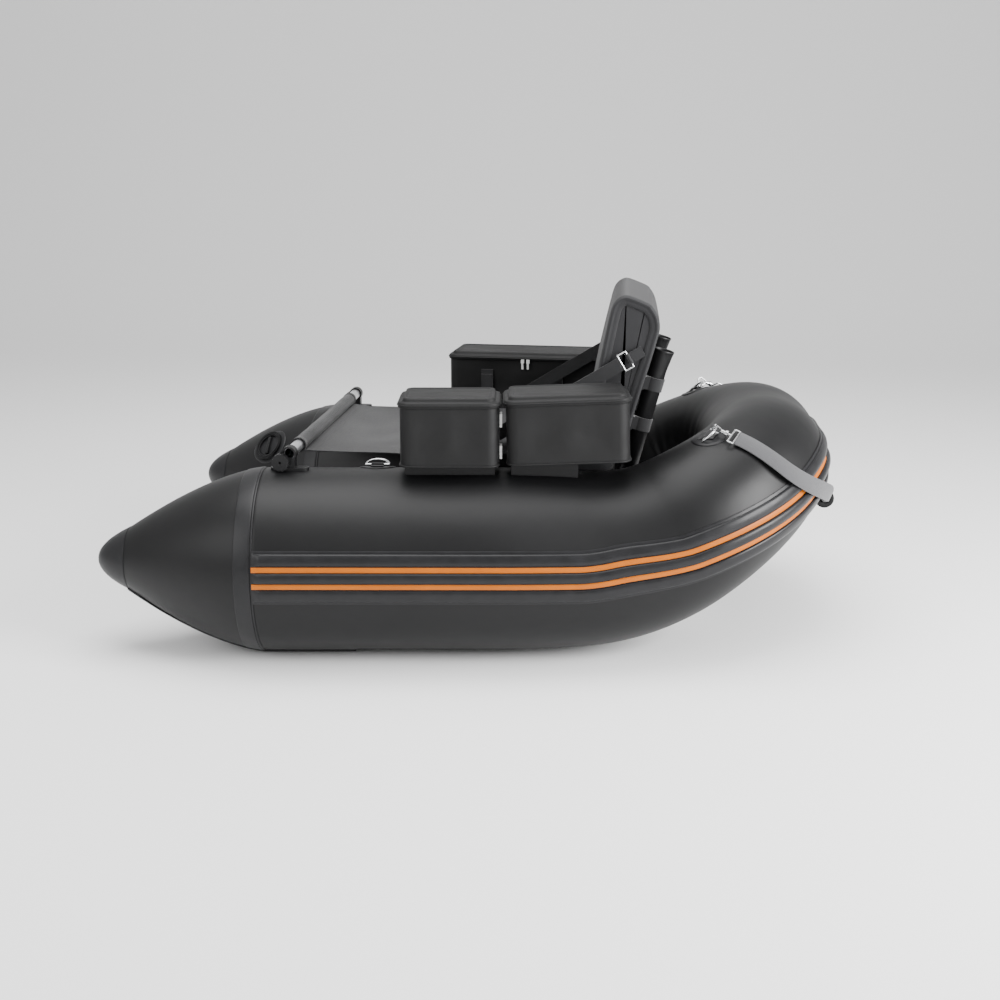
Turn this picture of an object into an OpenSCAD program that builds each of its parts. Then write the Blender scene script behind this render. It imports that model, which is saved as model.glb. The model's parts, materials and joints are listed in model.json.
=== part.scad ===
// Inflatable belly boat: two side tubes joined round the stern, bow cones, an inflated
// seat with a tilting backrest, a front bar with an apron, and three lidded tackle boxes.
// +X is the bow, +Y is port, +Z is up. The origin is at the middle of the footprint,
// at the height of the keel strips' undersides.

/* [Hull] */
// Diameter of each side tube
tube_d = 400; // [380:2:480]
// Diameter of the tube at the middle of the stern
stern_d = 284; // [270:2:340]
// Distance from the centre plane to a side tube's axis at the bow
tube_offset = 381; // [375:1:450]
// Angle by which each side tube turns in towards the stern
toe = 5; // [0:0.5:6]
// Length of the straight part of each side tube
straight_len = 682; // [640:2:740]
// Length of each bow cone
cone_len = 368; // [330:2:460]
// Radius of the tube's upward bend towards the stern
rise_r = 441; // [400:1:560]
// Angle by which the stern tilts up
rise_angle = 31.5; // [26:0.5:34]
// Radius of the bend round each stern corner
turn_r = 242; // [200:2:260]
// Distance from the cone base at which the tube starts to taper
taper_start = 510; // [300:10:600]
// Thickness of the keel strips
keel_t = 5; // [3:0.5:8]
// Width of the keel strips
keel_w = 120; // [80:5:150]
// Length of a keel strip behind the cone base
keel_aft = 198; // [120:2:300]
// Wall of the moulded tip caps
tip_wall = 2; // [1.5:0.5:4]
// Length of cone that a tip cap covers
tip_len = 66; // [50:2:90]

/* [Rubbing strake] */
// Width of the strake's glued flange
strake_w = 114; // [100:2:140]
// Height of the strake's ribs
strake_rib_h = 10; // [6:1:14]
// Thickness of the strake's flange
strake_flange_t = 2.5; // [1.5:0.5:4]
// Width of each coloured stripe
stripe_w = 11; // [8:0.5:12]
// Height of the strake above the tube's side line
strake_lift = 15.5; // [0:0.5:20]
// Angle by which the strake drops round the stern to stay level
strake_drop = 30; // [20:1:34]

/* [Tackle boxes] */
// Length of the front box on the port side
bow_box_l = 208; // [170:1:212]
// Length of the rear box on the port side
mid_box_l = 260; // [200:1:266]
// Length of the single box on the starboard side
long_box_l = 400; // [300:2:420]
// Width of every box
box_w = 160; // [130:2:180]
// Height of a box body
box_h = 126; // [100:2:155]
// Wall of a box body
box_wall = 5; // [3:0.5:8]
// Corner radius of the boxes
box_r = 24; // [12:1:36]
// Height of a lid's rim
lid_rim_h = 12; // [8:1:18]
// Height of the raised panel on a lid
lid_crown_h = 8; // [4:1:12]
// Opening angle of the lids
lid_open = 110; // [60:5:120]

/* [Seat] */
// Width of the seat cushion
seat_w = 400; // [360:5:440]
// Length of the seat cushion
seat_l = 364; // [300:2:410]
// Thickness of the seat cushion
seat_t = 75; // [60:1:100]
// Width of the backrest
back_w = 444; // [400:2:446]
// Height of the backrest along its front face
back_h = 338; // [280:2:360]
// Thickness of the backrest at its foot
back_foot_t = 96; // [80:2:110]
// Thickness of the backrest at its shoulder
back_top_t = 114; // [100:2:130]
// Angle at which the backrest leans back
back_lean = 11; // [6:0.5:16]
// Outer diameter of a rod holder
rod_d = 40; // [34:1:48]
// Wall of a rod holder
rod_wall = 2; // [1.5:0.5:4]
// Length of a rod holder
rod_l = 300; // [220:5:380]

/* [Front bar] */
// Outer diameter of the front bar
bar_d = 25; // [20:1:32]
// Wall of the front bar
bar_wall = 2; // [1:0.5:3]
// Half length of the front bar
bar_half = 372; // [350:1:380]
// Height of the bar's axis above the tube's highest line
bar_rise = 36; // [26:1:50]
// Diameter of the bar's hand knobs
knob_d = 38; // [30:1:50]

/* [Fittings] */
// Diameter of a valve's outer ring
valve_d = 84; // [70:1:96]
// Diameter of a valve's cap
valve_cap_d = 60; // [48:1:66]
// Diameter of the carrying grip
grip_d = 44; // [34:1:56]
// Length of the carrying grip
grip_l = 130; // [100:5:180]
// Width of the carrying strap
strap_w = 38; // [25:1:50]
// Width of a D-ring
ring_w = 50; // [40:1:64]
// Diameter of the D-ring's wire
ring_wire = 5; // [4:0.5:7]

/* [Hidden] */
$fn = 64;

seat_fit = 0.3;                  // clearance between pieces that only rest on each other
slip = 0.1;                      // clearance of glued or clipped pieces
skin_gap = 0.7;                  // clearance of shaped pieces glued to the tubes
tube_r = tube_d / 2;
stern_r = stern_d / 2;
axis_z = tube_r + keel_t;
tube_sides = 32;

// ---- Centre line of the port tube -------------------------------------------------------
// It runs aft from the cone base: straight, an upward bend, a bend round the corner in the
// tilted plane, and a straight half of the stern up to the centre plane.
function smooth(t) = t * t * (3 - 2 * t);
function clamp01(t) = max(0, min(1, t));
rise_len = rise_r * rise_angle * PI / 180;
bend_end = straight_len + rise_len;
turn_end = bend_end + turn_r * (90 - toe) * PI / 180;
stern_half = tube_offset - turn_r * cos(toe) - (straight_len + rise_len) * sin(toe);
path_len = turn_end + stern_half;
inboard = [0, -1, 0];
grip_angle = -33;                // elevation of the grip as seen from the stern tube's axis
grip_dist = stern_r + 15 + grip_d / 2;
bow_reach = cone_len + tip_wall;
stern_reach = (straight_len + rise_r * sin(rise_angle)) * cos(toe)
    + turn_r * (1 - sin(toe)) * cos(rise_angle) + grip_dist * cos(grip_angle) + grip_d / 2;
cone_base_x = (stern_reach - bow_reach * cos(toe)) / 2;
cone_base = [cone_base_x, tube_offset, axis_z];

function tilt_at(s) =
    s <= straight_len ? 0
    : s <= bend_end ? (s - straight_len) / rise_r * 180 / PI
    : rise_angle;
function turn_at(s) =
    s <= bend_end ? toe
    : s <= turn_end ? toe + (s - bend_end) / turn_r * 180 / PI
    : 90;
function aft_dir(a) = [-cos(a), 0, sin(a)];
function straight_pt(s) = cone_base + s * (cos(toe) * aft_dir(0) + sin(toe) * inboard);
function rise_pt(a) = straight_pt(straight_len)
    + rise_r * [-sin(a) * cos(toe), -a * PI / 180 * sin(toe), (1 - cos(a)) * cos(toe)];
function turn_pt(b) = rise_pt(rise_angle)
    + turn_r * ((sin(b) - sin(toe)) * aft_dir(rise_angle) + (cos(toe) - cos(b)) * inboard);
function path_pt(s) =
    s <= straight_len ? straight_pt(s)
    : s <= bend_end ? rise_pt(tilt_at(s))
    : s <= turn_end ? turn_pt(turn_at(s))
    : turn_pt(90) + (s - turn_end) * inboard;
function out_dir(s) = sin(turn_at(s)) * aft_dir(tilt_at(s)) - cos(turn_at(s)) * inboard;
function up_dir(s) = [sin(tilt_at(s)), 0, cos(tilt_at(s))];
function radius_at(s) = tube_r
    - (tube_r - stern_r) * smooth(clamp01((s - taper_start) / (path_len - taper_start)));
// Point on the hull: s along the tube, q degrees up from its outer side, h above the skin
function hull_pt(s, q, h = 0) = path_pt(s)
    + (radius_at(s) + h) * (cos(q) * out_dir(s) + sin(q) * up_dir(s));
// The same in strake measure: w millimetres up from the strake's middle line
function strake_q(s) = asin(strake_lift / tube_r)
    - strake_drop * smooth(clamp01((s - straight_len - 75) / 372));
function strake_pt(s, w, h) = hull_pt(s, strake_q(s) + w / radius_at(s) * 180 / PI, h);

// A solid through a list of rings of points
module loft(rings) {
    n = len(rings[0]);
    m = len(rings);
    sides = [for (i = [0 : m - 2], j = [0 : n - 1])
        let (a = i * n + j, b = i * n + (j + 1) % n, c = b + n, d = a + n)
        each [[a, b, c], [a, c, d]]];
    start = [for (j = [n - 1 : -1 : 0]) j];
    end = [for (j = [0 : n - 1]) (m - 1) * n + j];
    polyhedron([for (r = rings) each r], concat(sides, [start, end]), convexity = 10);
}
function reversed(list) = [for (i = [len(list) - 1 : -1 : 0]) list[i]];
function mirror_pt(p) = [p[0], -p[1], p[2]];
function steps(from, to, count) = [for (i = [0 : count]) from + (to - from) * i / count];

module both_sides() {
    children();
    mirror([0, 1, 0]) children();
}
// Frame of the port tube's straight part: x forward along the axis, y outboard, z up
module tube_frame() {
    translate(cone_base) rotate([0, 0, toe]) children();
}
// 2D rectangle with round corners, about its centre
module rounded(l, w, r) {
    square([l - 2 * r, w], center = true);
    square([l, w - 2 * r], center = true);
    for (x = [-1, 1], y = [-1, 1]) translate([x * (l / 2 - r), y * (w / 2 - r)]) circle(r);
}

// ---- Hull ---------------------------------------------------------------------------------
hull_black = [0.10, 0.10, 0.105];
bulkhead_t = 1;
tube_stations = concat(
    [0, taper_start], steps(taper_start + 100, straight_len, 3),
    steps(straight_len + 40, bend_end, 4), steps(bend_end + 26, turn_end, 12),
    steps(turn_end + 40, path_len - bulkhead_t / 2 - slip, 2));
module half_tube() {
    color(hull_black)
        loft([for (s = tube_stations) [for (k = [0 : tube_sides - 1])
            hull_pt(s, k * 360 / tube_sides)]]);
}
module port_tube() { half_tube(); }
module starboard_tube() { mirror([0, 1, 0]) half_tube(); }

module stern_bulkhead() {
    // Disc of coated fabric that divides the two air chambers
    color("dimgray") translate(path_pt(path_len)) rotate([90, 0, 0])
        cylinder(h = bulkhead_t, r = stern_r - 2, center = true);
}

nose_l = 28;                     // length of the cone's round nose
nose_start = cone_len - nose_l;
cone_stations = steps(0, nose_start, 16);
cone_shape = [for (u = cone_stations) [u, tube_r * (1 - pow(u / (cone_len * 1.07), 1.5))]];
function cone_r(u) = lookup(u, cone_shape);
// Side view of the cone's skin from one station to another, h above it
function skin(from, to, h) = [for (u = concat([from],
    [for (k = cone_stations) if (k > from + 0.5 && k < to - 0.5) k], [to])) [cone_r(u) + h, u]];
module about_tube_axis() {
    rotate([0, 90, 0]) rotate_extrude($fn = 96) children();
}
valve_x = 150;                   // distance of a valve ahead of the cone base
valve_turn = 46;                 // degrees from the top towards the centre plane
valve_lean = 16;                 // slope of the cone's skin under the valve
valve_pocket = 34;
valve_travel = 4;                // how far the plunger can be pressed in
module valve_frame() {
    // z outwards, origin on the cone's skin
    rotate([valve_turn, 0, 0]) translate([valve_x, 0, cone_r(valve_x)])
        rotate([0, valve_lean + 8, 0]) children();
}
module bow_cone() {
    color(hull_black) tube_frame() difference() {
        translate([slip, 0, 0]) about_tube_axis()
            polygon(concat([[0, 0]], skin(0, nose_start, 0), [[0, nose_start]]));
        valve_frame() translate([0, 0, -valve_pocket])
            cylinder(h = 80, d = valve_d - 16 + 2 * slip);
        valve_frame() translate([0, 0, -valve_pocket - valve_travel])
            cylinder(h = 20, r = stem_r + 0.3);
    }
}
module port_bow_cone() { bow_cone(); }
module starboard_bow_cone() { mirror([0, 1, 0]) bow_cone(); }

tip_from = cone_len - tip_len;
module tip_caps() {
    color([0.08, 0.08, 0.085]) both_sides() tube_frame() about_tube_axis()
        polygon(concat(
            reversed(skin(tip_from, nose_start + slip, seat_fit)),
            skin(tip_from, nose_start, tip_wall),
            [for (a = steps(15, 90, 5))
                [(cone_r(nose_start) + tip_wall) * cos(a), nose_start + (nose_l + tip_wall) * sin(a)]],
            [[0, nose_start + 2 * slip]]));
}

band_t = 1.2;
band_w = 36;
module cone_seam_bands() {
    // Each band stops at the keel strip's edges
    color([0.13, 0.13, 0.135]) both_sides() tube_frame() difference() {
        about_tube_axis()
            polygon(concat(skin(2, band_w, 2 * slip), reversed(skin(2, band_w, band_t + slip))));
        translate([0, -keel_w / 2 - seat_fit, -axis_z])
            cube([band_w + 1, keel_w + 2 * seat_fit, axis_z]);
    }
}

module keel_strips() {
    // Chafing strip under each tube, wrapped up under the cone
    keel_fore = 300;
    color([0.07, 0.07, 0.075]) both_sides() tube_frame() difference() {
        union() {
            translate([-keel_aft, -keel_w / 2, -axis_z]) cube([keel_aft, keel_w, 45]);
            intersection() {
                about_tube_axis() polygon(concat([[0, 0]], skin(0, keel_fore, keel_t),
                    [[0, keel_fore]]));
                translate([0, -keel_w / 2, -axis_z]) cube([keel_fore, keel_w, axis_z - 20]);
            }
        }
        translate([-keel_aft - 1, 0, 0]) rotate([0, 90, 0])
            cylinder(h = keel_aft + 2, r = tube_r + slip, $fn = 96);
        about_tube_axis() polygon(concat([[0, 0]], skin(0, keel_fore + 8, slip + skin_gap),
            [[0, keel_fore + 8]]));
    }
}

// ---- Rubbing strake -------------------------------------------------------------------------
rib_r = 17.5 + stripe_w / 2 + 0.7;
strake_edge = strake_w / 2;
half_profile = [[0, strake_rib_h + 1], [8, strake_rib_h], [17.5 - stripe_w / 2 - 0.7, strake_flange_t],
    [rib_r, strake_flange_t], [rib_r + 4, strake_rib_h - 1], [rib_r + 14, strake_rib_h - 2],
    [rib_r + 20, strake_flange_t], [strake_edge, strake_flange_t - 0.5], [strake_edge, skin_gap]];
strake_profile = concat(half_profile,
    [for (w = steps(strake_edge - 14, 14 - strake_edge, 5)) [w, skin_gap]],
    [for (i = [len(half_profile) - 1 : -1 : 1]) [-half_profile[i][0], half_profile[i][1]]]);
strake_start = 3;
strake_stations = concat([strake_start],
    [for (s = tube_stations) if (s > strake_start && s < path_len - 1) s], [path_len]);
function strake_ring(s) = [for (p = strake_profile) strake_pt(s, p[0], p[1])];
module rub_strake() {
    port = [for (s = strake_stations) strake_ring(s)];
    starboard = [for (i = [len(port) - 2 : -1 : 0]) [for (p = port[i]) mirror_pt(p)]];
    color([0.12, 0.12, 0.125]) loft(concat(port, starboard));
}

stripe_end = bend_end + 300;      // the stripes stop under the carrying strap
stripe_stations = [for (s = strake_stations) if (s < stripe_end) s];
module strake_stripes() {
    stripe_h = strake_flange_t + 1.2;
    half = stripe_w / 2;
    color([0.81, 0.43, 0.02]) both_sides() for (side = [-1, 1])
        loft([for (s = stripe_stations) let (mid = side * 17.5) [
            strake_pt(s, mid + half, strake_flange_t + seat_fit), strake_pt(s, mid + half, stripe_h),
            strake_pt(s, mid - half, stripe_h), strake_pt(s, mid - half, strake_flange_t + seat_fit)]]);
}

// ---- Valves -----------------------------------------------------------------------------------
valve_ring_h = 8;
valve_bore = valve_cap_d / 2 + 0.3;
stem_r = 6;
cap_z = valve_ring_h - 6;
module valve_body() {
    color([0.16, 0.16, 0.16]) tube_frame() {
        difference() {
            union() {
                intersection() {
                    about_tube_axis() polygon(concat(
                        reversed(skin(40, 262, seat_fit)), skin(40, 262, 2.6)));
                    valve_frame() translate([0, 0, -20]) cylinder(h = 40, d = valve_d + 12);
                }
                valve_frame() translate([0, 0, 0.6 - valve_pocket])
                    cylinder(h = valve_pocket + valve_ring_h, d = valve_d - 16);
                valve_frame() translate([0, 0, -4]) cylinder(h = 4 + valve_ring_h, d = valve_d);
            }
            bow_cone_core();
            valve_frame() {
                translate([0, 0, cap_z - 8]) cylinder(h = 40, r = valve_bore);
                translate([0, 0, 4 - valve_pocket]) cylinder(h = 60, r = 14);
                translate([0, 0, -valve_pocket - 2]) cylinder(h = 20, r = stem_r + 0.3);
            }
        }
    }
}
module bow_cone_core() {
    // The cone outside its valve pocket, taken away from the valve ring's underside
    difference() {
        about_tube_axis() polygon(concat([[0, 0]], skin(20, 280, seat_fit), [[0, 280]]));
        valve_frame() translate([0, 0, -valve_pocket]) cylinder(h = 80, d = valve_d - 16 + slip);
    }
}
module valve_cap() {
    color([0.06, 0.06, 0.06]) tube_frame() valve_frame() translate([0, 0, cap_z - 7.7]) {
        cylinder(h = 7, d = valve_cap_d);
        translate([0, 0, 6]) intersection() {
            translate([-6, -valve_cap_d / 2, 0]) cube([12, valve_cap_d, 9]);
            cylinder(h = 9, d = valve_cap_d - 4);
        }
    }
}
module valve_plunger() {
    color("gray") tube_frame() valve_frame() {
        translate([0, 0, 1 - valve_pocket]) cylinder(h = valve_pocket - 9, r = stem_r);
        translate([0, 0, -12]) cylinder(h = 3, r = 12);
    }
}
module valve_spring() {
    color("silver") tube_frame() valve_frame() translate([0, 0, 4.3 - valve_pocket])
        difference() {
            cylinder(h = valve_pocket - 4.3 - 12.3, r = 11);
            translate([0, 0, -1]) cylinder(h = valve_pocket, r = 8.5);
        }
}
module port_valve_body() { valve_body(); }
module starboard_valve_body() { mirror([0, 1, 0]) valve_body(); }
module port_valve_cap() { valve_cap(); }
module starboard_valve_cap() { mirror([0, 1, 0]) valve_cap(); }
module port_valve_plunger() { valve_plunger(); }
module starboard_valve_plunger() { mirror([0, 1, 0]) valve_plunger(); }
module port_valve_spring() { valve_spring(); }
module starboard_valve_spring() { mirror([0, 1, 0]) valve_spring(); }

// ---- Front bar ----------------------------------------------------------------------------------
bar_aft = 60;                    // distance of the bar behind the cone base
bar_x = cone_base_x - bar_aft;
bar_z = axis_z + tube_r + bar_rise;
bracket_y = tube_offset - bar_aft * tan(toe);
knob_drop = 16;                  // the knob's screw lies below and ahead of the bar
knob_fore = 15;
ear_t = 22;
screw_r = 4;
knob_y = bracket_y + ear_t / 2 + seat_fit;
module across(x, z) {
    translate([x, 0, z]) rotate([-90, 0, 0]) children();
}
module front_bar() {
    color([0.80, 0.80, 0.81]) across(bar_x, bar_z) translate([0, 0, -bar_half]) difference() {
        cylinder(h = 2 * bar_half, d = bar_d);
        translate([0, 0, -1]) cylinder(h = 2 * bar_half + 2, d = bar_d - 2 * bar_wall);
    }
}
module bar_brackets() {
    // Moulded foot with a bore for the bar's end and a bore for the knob's screw
    foot_z = axis_z + sqrt(pow(tube_r, 2) - pow(22, 2)) + 1.2;
    color([0.11, 0.11, 0.11]) both_sides() difference() {
        union() {
            translate([bar_x, bracket_y, axis_z + 150])
                linear_extrude(foot_z - axis_z - 150 + 6) rounded(84, ear_t + 6, 13.9);
            translate([bar_x - 13, bracket_y - ear_t / 2, foot_z + 3])
                cube([26, ear_t, bar_z - foot_z - 3]);
            across(bar_x, bar_z) translate([0, 0, bracket_y - ear_t / 2])
                cylinder(h = ear_t, d = bar_d + 8);
            across(bar_x + knob_fore, bar_z - knob_drop) translate([0, 0, bracket_y - ear_t / 2])
                cylinder(h = ear_t, r = 12);
        }
        translate([cone_base_x, tube_offset, axis_z]) rotate([0, 0, toe]) rotate([0, 90, 0])
            cylinder(h = 400, r = tube_r + slip, center = true, $fn = 128);
        across(bar_x, bar_z) cylinder(h = 600, d = bar_d + 2 * slip);
        across(bar_x + knob_fore, bar_z - knob_drop)
            translate([0, 0, bracket_y - 6]) cylinder(h = 60, r = screw_r + slip);
    }
}
module bar_knob() {
    color([0.12, 0.12, 0.12]) across(bar_x + knob_fore, bar_z - knob_drop) {
        translate([0, 0, bracket_y - 5]) cylinder(h = ear_t, r = screw_r);
        translate([0, 0, knob_y]) difference() {
            union() {
                cylinder(h = 4, d = knob_d - 14);
                translate([0, 0, 3]) cylinder(h = 13, d = knob_d);
            }
            for (k = [0 : 11]) rotate([0, 0, k * 30]) translate([knob_d / 2 + 1.5, 0, 2.9])
                cylinder(h = 20, r = 3, $fn = 24);
            translate([0, 0, 9]) cylinder(h = 20, r = 3);
        }
    }
}
module port_bar_knob() { bar_knob(); }
module starboard_bar_knob() { mirror([0, 1, 0]) bar_knob(); }

apron_t = 3;
apron_l = 230;                   // from the bar's axis to the apron's rear hem
apron_half = 290;                // half width of the apron's sleeve
module apron() {
    // Sheet of mesh fabric: a sleeve round the bar and a panel back over the lap
    sleeve_r = bar_d / 2 + slip;
    color([0.22, 0.22, 0.22]) {
        across(bar_x, bar_z) translate([0, 0, -apron_half]) difference() {
            cylinder(h = 2 * apron_half, r = sleeve_r + apron_t);
            translate([0, 0, -1]) cylinder(h = 2 * apron_half + 2, r = sleeve_r);
        }
        translate([bar_x, 0, bar_z - sleeve_r - apron_t]) rotate([0, -4, 0])
            translate([-apron_l, 0, 0]) linear_extrude(apron_t)
                polygon([[0, -240], [60, -250], [160, -262], [apron_l, -apron_half],
                    [apron_l, apron_half], [160, 262], [60, 250], [0, 240]]);
    }
}

// ---- Seat ------------------------------------------------------------------------------------------
back_x = cone_base_x - 687;      // front edge of the backrest's foot, its hinge line
seat_aft = back_x - 72;          // rear face of the cushion
sling_t = 4;
sling_z = axis_z + 162;
seat_z = sling_z + sling_t + seat_fit;
back_z = seat_z + seat_t + 2 * seat_fit;
// Half width between the tubes at height z, at distance s along them
function gap_half(s, z) = path_pt(s)[1]
    - sqrt(pow(tube_r, 2) - pow(z - axis_z, 2)) / cos(toe);
function s_at(x) = (cone_base_x - x) / cos(toe);
module seat_sling() {
    // Coated fabric panel welded between the tubes, which carries the seat
    fore = seat_aft + seat_l;
    color([0.10, 0.10, 0.10]) translate([0, 0, sling_z]) linear_extrude(sling_t)
        polygon([for (p = [[seat_aft, 1], [fore, 1], [fore, -1], [seat_aft, -1]])
            [p[0], p[1] * (gap_half(s_at(p[0]), sling_z) - 0.6)]]);
}
module seat_cushion() {
    color([0.13, 0.13, 0.135]) translate([seat_aft + seat_l / 2, 0, seat_z])
        linear_extrude(seat_t) rounded(seat_l, seat_w, 40);
}

foot_rise = back_foot_t * tan(back_lean);
shoulder_r = 66;
rear_lean = back_lean + atan((back_top_t - back_foot_t) / (back_h - shoulder_r - foot_rise));
rear_t = back_foot_t * cos(rear_lean - back_lean) - foot_rise * sin(rear_lean - back_lean);
module backrest() {
    // Inflated slab with a rounded shoulder, given by its side view
    top_r = 20;
    color([0.20, 0.20, 0.20]) translate([back_x, back_w / 2, back_z]) rotate([90, 0, 0])
        linear_extrude(back_w) rotate(back_lean) {
            polygon([[0, 0], [0, back_h - top_r], [-top_r, back_h],
                [shoulder_r - back_top_t, back_h], [-back_top_t, back_h - shoulder_r],
                [-back_foot_t, foot_rise]]);
            translate([-top_r, back_h - top_r]) circle(top_r);
            translate([shoulder_r - back_top_t, back_h - shoulder_r]) circle(shoulder_r);
        }
}
// Frame of a rod holder: z up along its axis, origin at its lower end
rod_y = 118;
rod_gap = 6;                     // between the backrest and a rod holder
rod_top = back_h - shoulder_r - 40;
module rod_frame() {
    translate([back_x, rod_y, back_z]) rotate([0, -rear_lean, 0])
        translate([-rear_t - rod_gap - rod_d / 2, 0, rod_top - rod_l]) children();
}
module rod_holder() {
    flare = 5;
    flare_l = 46;
    color([0.07, 0.07, 0.07]) rod_frame() rotate_extrude()
        polygon([[rod_d / 2 - rod_wall, 0], [rod_d / 2, 0], [rod_d / 2, rod_l - flare_l],
            [rod_d / 2 + flare, rod_l], [rod_d / 2 + flare - rod_wall, rod_l],
            [rod_d / 2 - rod_wall, rod_l - flare_l]]);
}
module port_rod_holder() { rod_holder(); }
module starboard_rod_holder() { mirror([0, 1, 0]) rod_holder(); }
module rod_holder_sleeves() {
    // Fabric bands that hold each rod holder against the backrest
    band = 30;
    color([0.09, 0.09, 0.09]) both_sides() for (up = [110, 205]) rod_frame()
        translate([0, 0, up]) difference() {
            union() {
                cylinder(h = band, r = rod_d / 2 + 2.5);
                translate([rod_d / 2, -rod_d / 2 - 14, 0]) cube([rod_gap, rod_d + 28, band]);
                translate([0, -rod_d / 2, 0]) cube([rod_d / 2 + 1, rod_d, band]);
            }
            translate([0, 0, -1]) cylinder(h = band + 2, r = rod_d / 2 + slip);
            translate([rod_d / 2 + rod_gap - slip, -60, -1]) cube([20, 120, band + 2]);
        }
}

// ---- Backrest straps ------------------------------------------------------------------------------
ring_x = cone_base_x - 778;      // middle of a backrest ring
ring_z = 628;
ring_wire_r = 2;
back_ring_w = 38;
back_ring_h = 20;
back_strap_w = 30;
back_strap_t = 2;
anchor_s = 375;
anchor_q = 127;
anchor_h = 16.2;                  // height of the strap's end above the skin
strap_slope = 31;
strap_y = back_w / 2 + 5.5;
// x up the line of the strap, away from it
module back_ring_frame() {
    translate([ring_x, strap_y, ring_z]) rotate([0, 180 + strap_slope, 0]) children();
}
module back_ring() {
    // Rectangle of wire; its long sides stand across the strap
    w = back_ring_w;
    h = back_ring_h;
    color("silver") back_ring_frame() {
        for (x = [-h / 2, h / 2]) translate([x, 0, -w / 2]) cylinder(h = w, r = ring_wire_r);
        for (z = [-w / 2, w / 2]) translate([-h / 2, 0, z]) rotate([0, 90, 0])
            cylinder(h = h, r = ring_wire_r);
        for (x = [-h / 2, h / 2], z = [-w / 2, w / 2]) translate([x, 0, z])
            sphere(r = ring_wire_r);
    }
}
module port_back_ring() { back_ring(); }
module starboard_back_ring() { mirror([0, 1, 0]) back_ring(); }
module back_ring_tabs() {
    // Webbing loop on each end of the backrest, round the ring's rear wire
    color([0.08, 0.08, 0.08]) both_sides() back_ring_frame()
        translate([back_ring_h / 2, 0, 0]) difference() {
            union() {
                translate([0, 0, -12]) cylinder(h = 24, r = ring_wire_r + 2);
                translate([0, -5.4, -12]) cube([34, 2.2, 24]);
                translate([0, -5.4, -12]) cube([ring_wire_r + 2, 4, 24]);
            }
            translate([0, 0, -13]) cylinder(h = 26, r = ring_wire_r + 0.2);
        }
}
module back_strap() {
    // Webbing from the ring's front wire down to the anchor on the tube
    start = [ring_x, strap_y, ring_z]
        + (back_ring_h / 2 + ring_wire_r + seat_fit) * [cos(strap_slope), 0, -sin(strap_slope)];
    end = hull_pt(anchor_s, anchor_q, anchor_h);
    along = (end - start) / norm(end - start);
    side = cross([0, 1, 0], along) / norm(cross([0, 1, 0], along));
    out = cross(along, side);
    color([0.05, 0.05, 0.05]) loft([for (p = [start, end]) [
        for (k = [[1, 1], [1, -1], [-1, -1], [-1, 1]])
            p + k[0] * back_strap_w / 2 * side + k[1] * back_strap_t / 2 * out]]);
}
module port_back_strap() { back_strap(); }
module starboard_back_strap() { mirror([0, 1, 0]) back_strap(); }

// ---- Patches and rings on the hull --------------------------------------------------------------
// Oval reinforcement patch welded to the skin
module skin_patch(s, q, half_s, half_w, t = 2.4) {
    loft([for (u = steps(-0.96, 0.96, 8)) let (
        at = s + u * half_s,
        w = half_w * sqrt(1 - u * u) / radius_at(s) * 180 / PI)
        concat([for (v = steps(-w, w, 4)) hull_pt(at, q + v, t)],
            [for (v = steps(w, -w, 4)) hull_pt(at, q + v, skin_gap)])]);
}
function unit(v) = v / norm(v);
function skin_out(s, q) = hull_pt(s, q, 1) - hull_pt(s, q);
function skin_toward(s, q, s2, q2) = let (
    raw = hull_pt(s2, q2) - hull_pt(s, q),
    n = skin_out(s, q))
    unit(raw - (raw * n) * n);
// Frame on the skin: z outwards, x along the line from the point (s, q) to the point (s2, q2)
module skin_frame(s, q, s2, q2) {
    p = hull_pt(s, q);
    n = skin_out(s, q);
    x = skin_toward(s, q, s2, q2);
    y = cross(n, x);
    multmatrix([[x[0], y[0], n[0], p[0]], [x[1], y[1], n[1], p[1]], [x[2], y[2], n[2], p[2]],
        [0, 0, 0, 1]]) children();
}
bow_ring_s = 247;
bow_ring_q = 100;
stern_ring_s = 1056;
stern_ring_q = 72;
hook_s = 1076;
hook_q = 40;
pivot_h = 6.5;                   // height of a D-ring's straight wire above the skin
wire_r = ring_wire / 2;
stern_ring_tilt = 24;
bow_ring_tilt = 24;
module bow_ring_place() {
    skin_frame(bow_ring_s, bow_ring_q, bow_ring_s, bow_ring_q + 30) children();
}
module stern_ring_place() {
    skin_frame(stern_ring_s, stern_ring_q, hook_s, hook_q) children();
}
// D-ring with its straight wire along y and its bow towards +x
module d_ring(tilt) {
    translate([0, 0, pivot_h]) rotate([0, -tilt, 0]) {
        rotate([0, 0, -90]) rotate_extrude(angle = 180)
            translate([ring_w / 2, 0]) circle(wire_r, $fn = 32);
        rotate([90, 0, 0]) cylinder(h = ring_w, r = wire_r, center = true);
        for (y = [-1, 1]) translate([0, y * ring_w / 2, 0]) sphere(wire_r, $fn = 32);
    }
}
module ring_loop() {
    // Webbing loop over the straight wire, stitched to the patch
    difference() {
        union() {
            translate([0, -14, pivot_h]) rotate([-90, 0, 0]) cylinder(h = 28, r = wire_r + 2);
            translate([-wire_r - 2, -14, 1.2]) cube([ring_wire + 4, 28, pivot_h - 1.2]);
        }
        translate([0, -15, pivot_h]) rotate([-90, 0, 0]) cylinder(h = 30, r = wire_r + 0.2);
    }
}
module ring_patches() {
    color([0.09, 0.09, 0.09]) both_sides() {
        skin_patch(bow_ring_s, bow_ring_q, 40, 26);
        bow_ring_place() ring_loop();
        skin_patch(stern_ring_s, stern_ring_q, 30, 42);
        stern_ring_place() ring_loop();
    }
}
module port_bow_ring() { color("silver") bow_ring_place() d_ring(bow_ring_tilt); }
module starboard_bow_ring() { mirror([0, 1, 0]) port_bow_ring(); }
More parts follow.
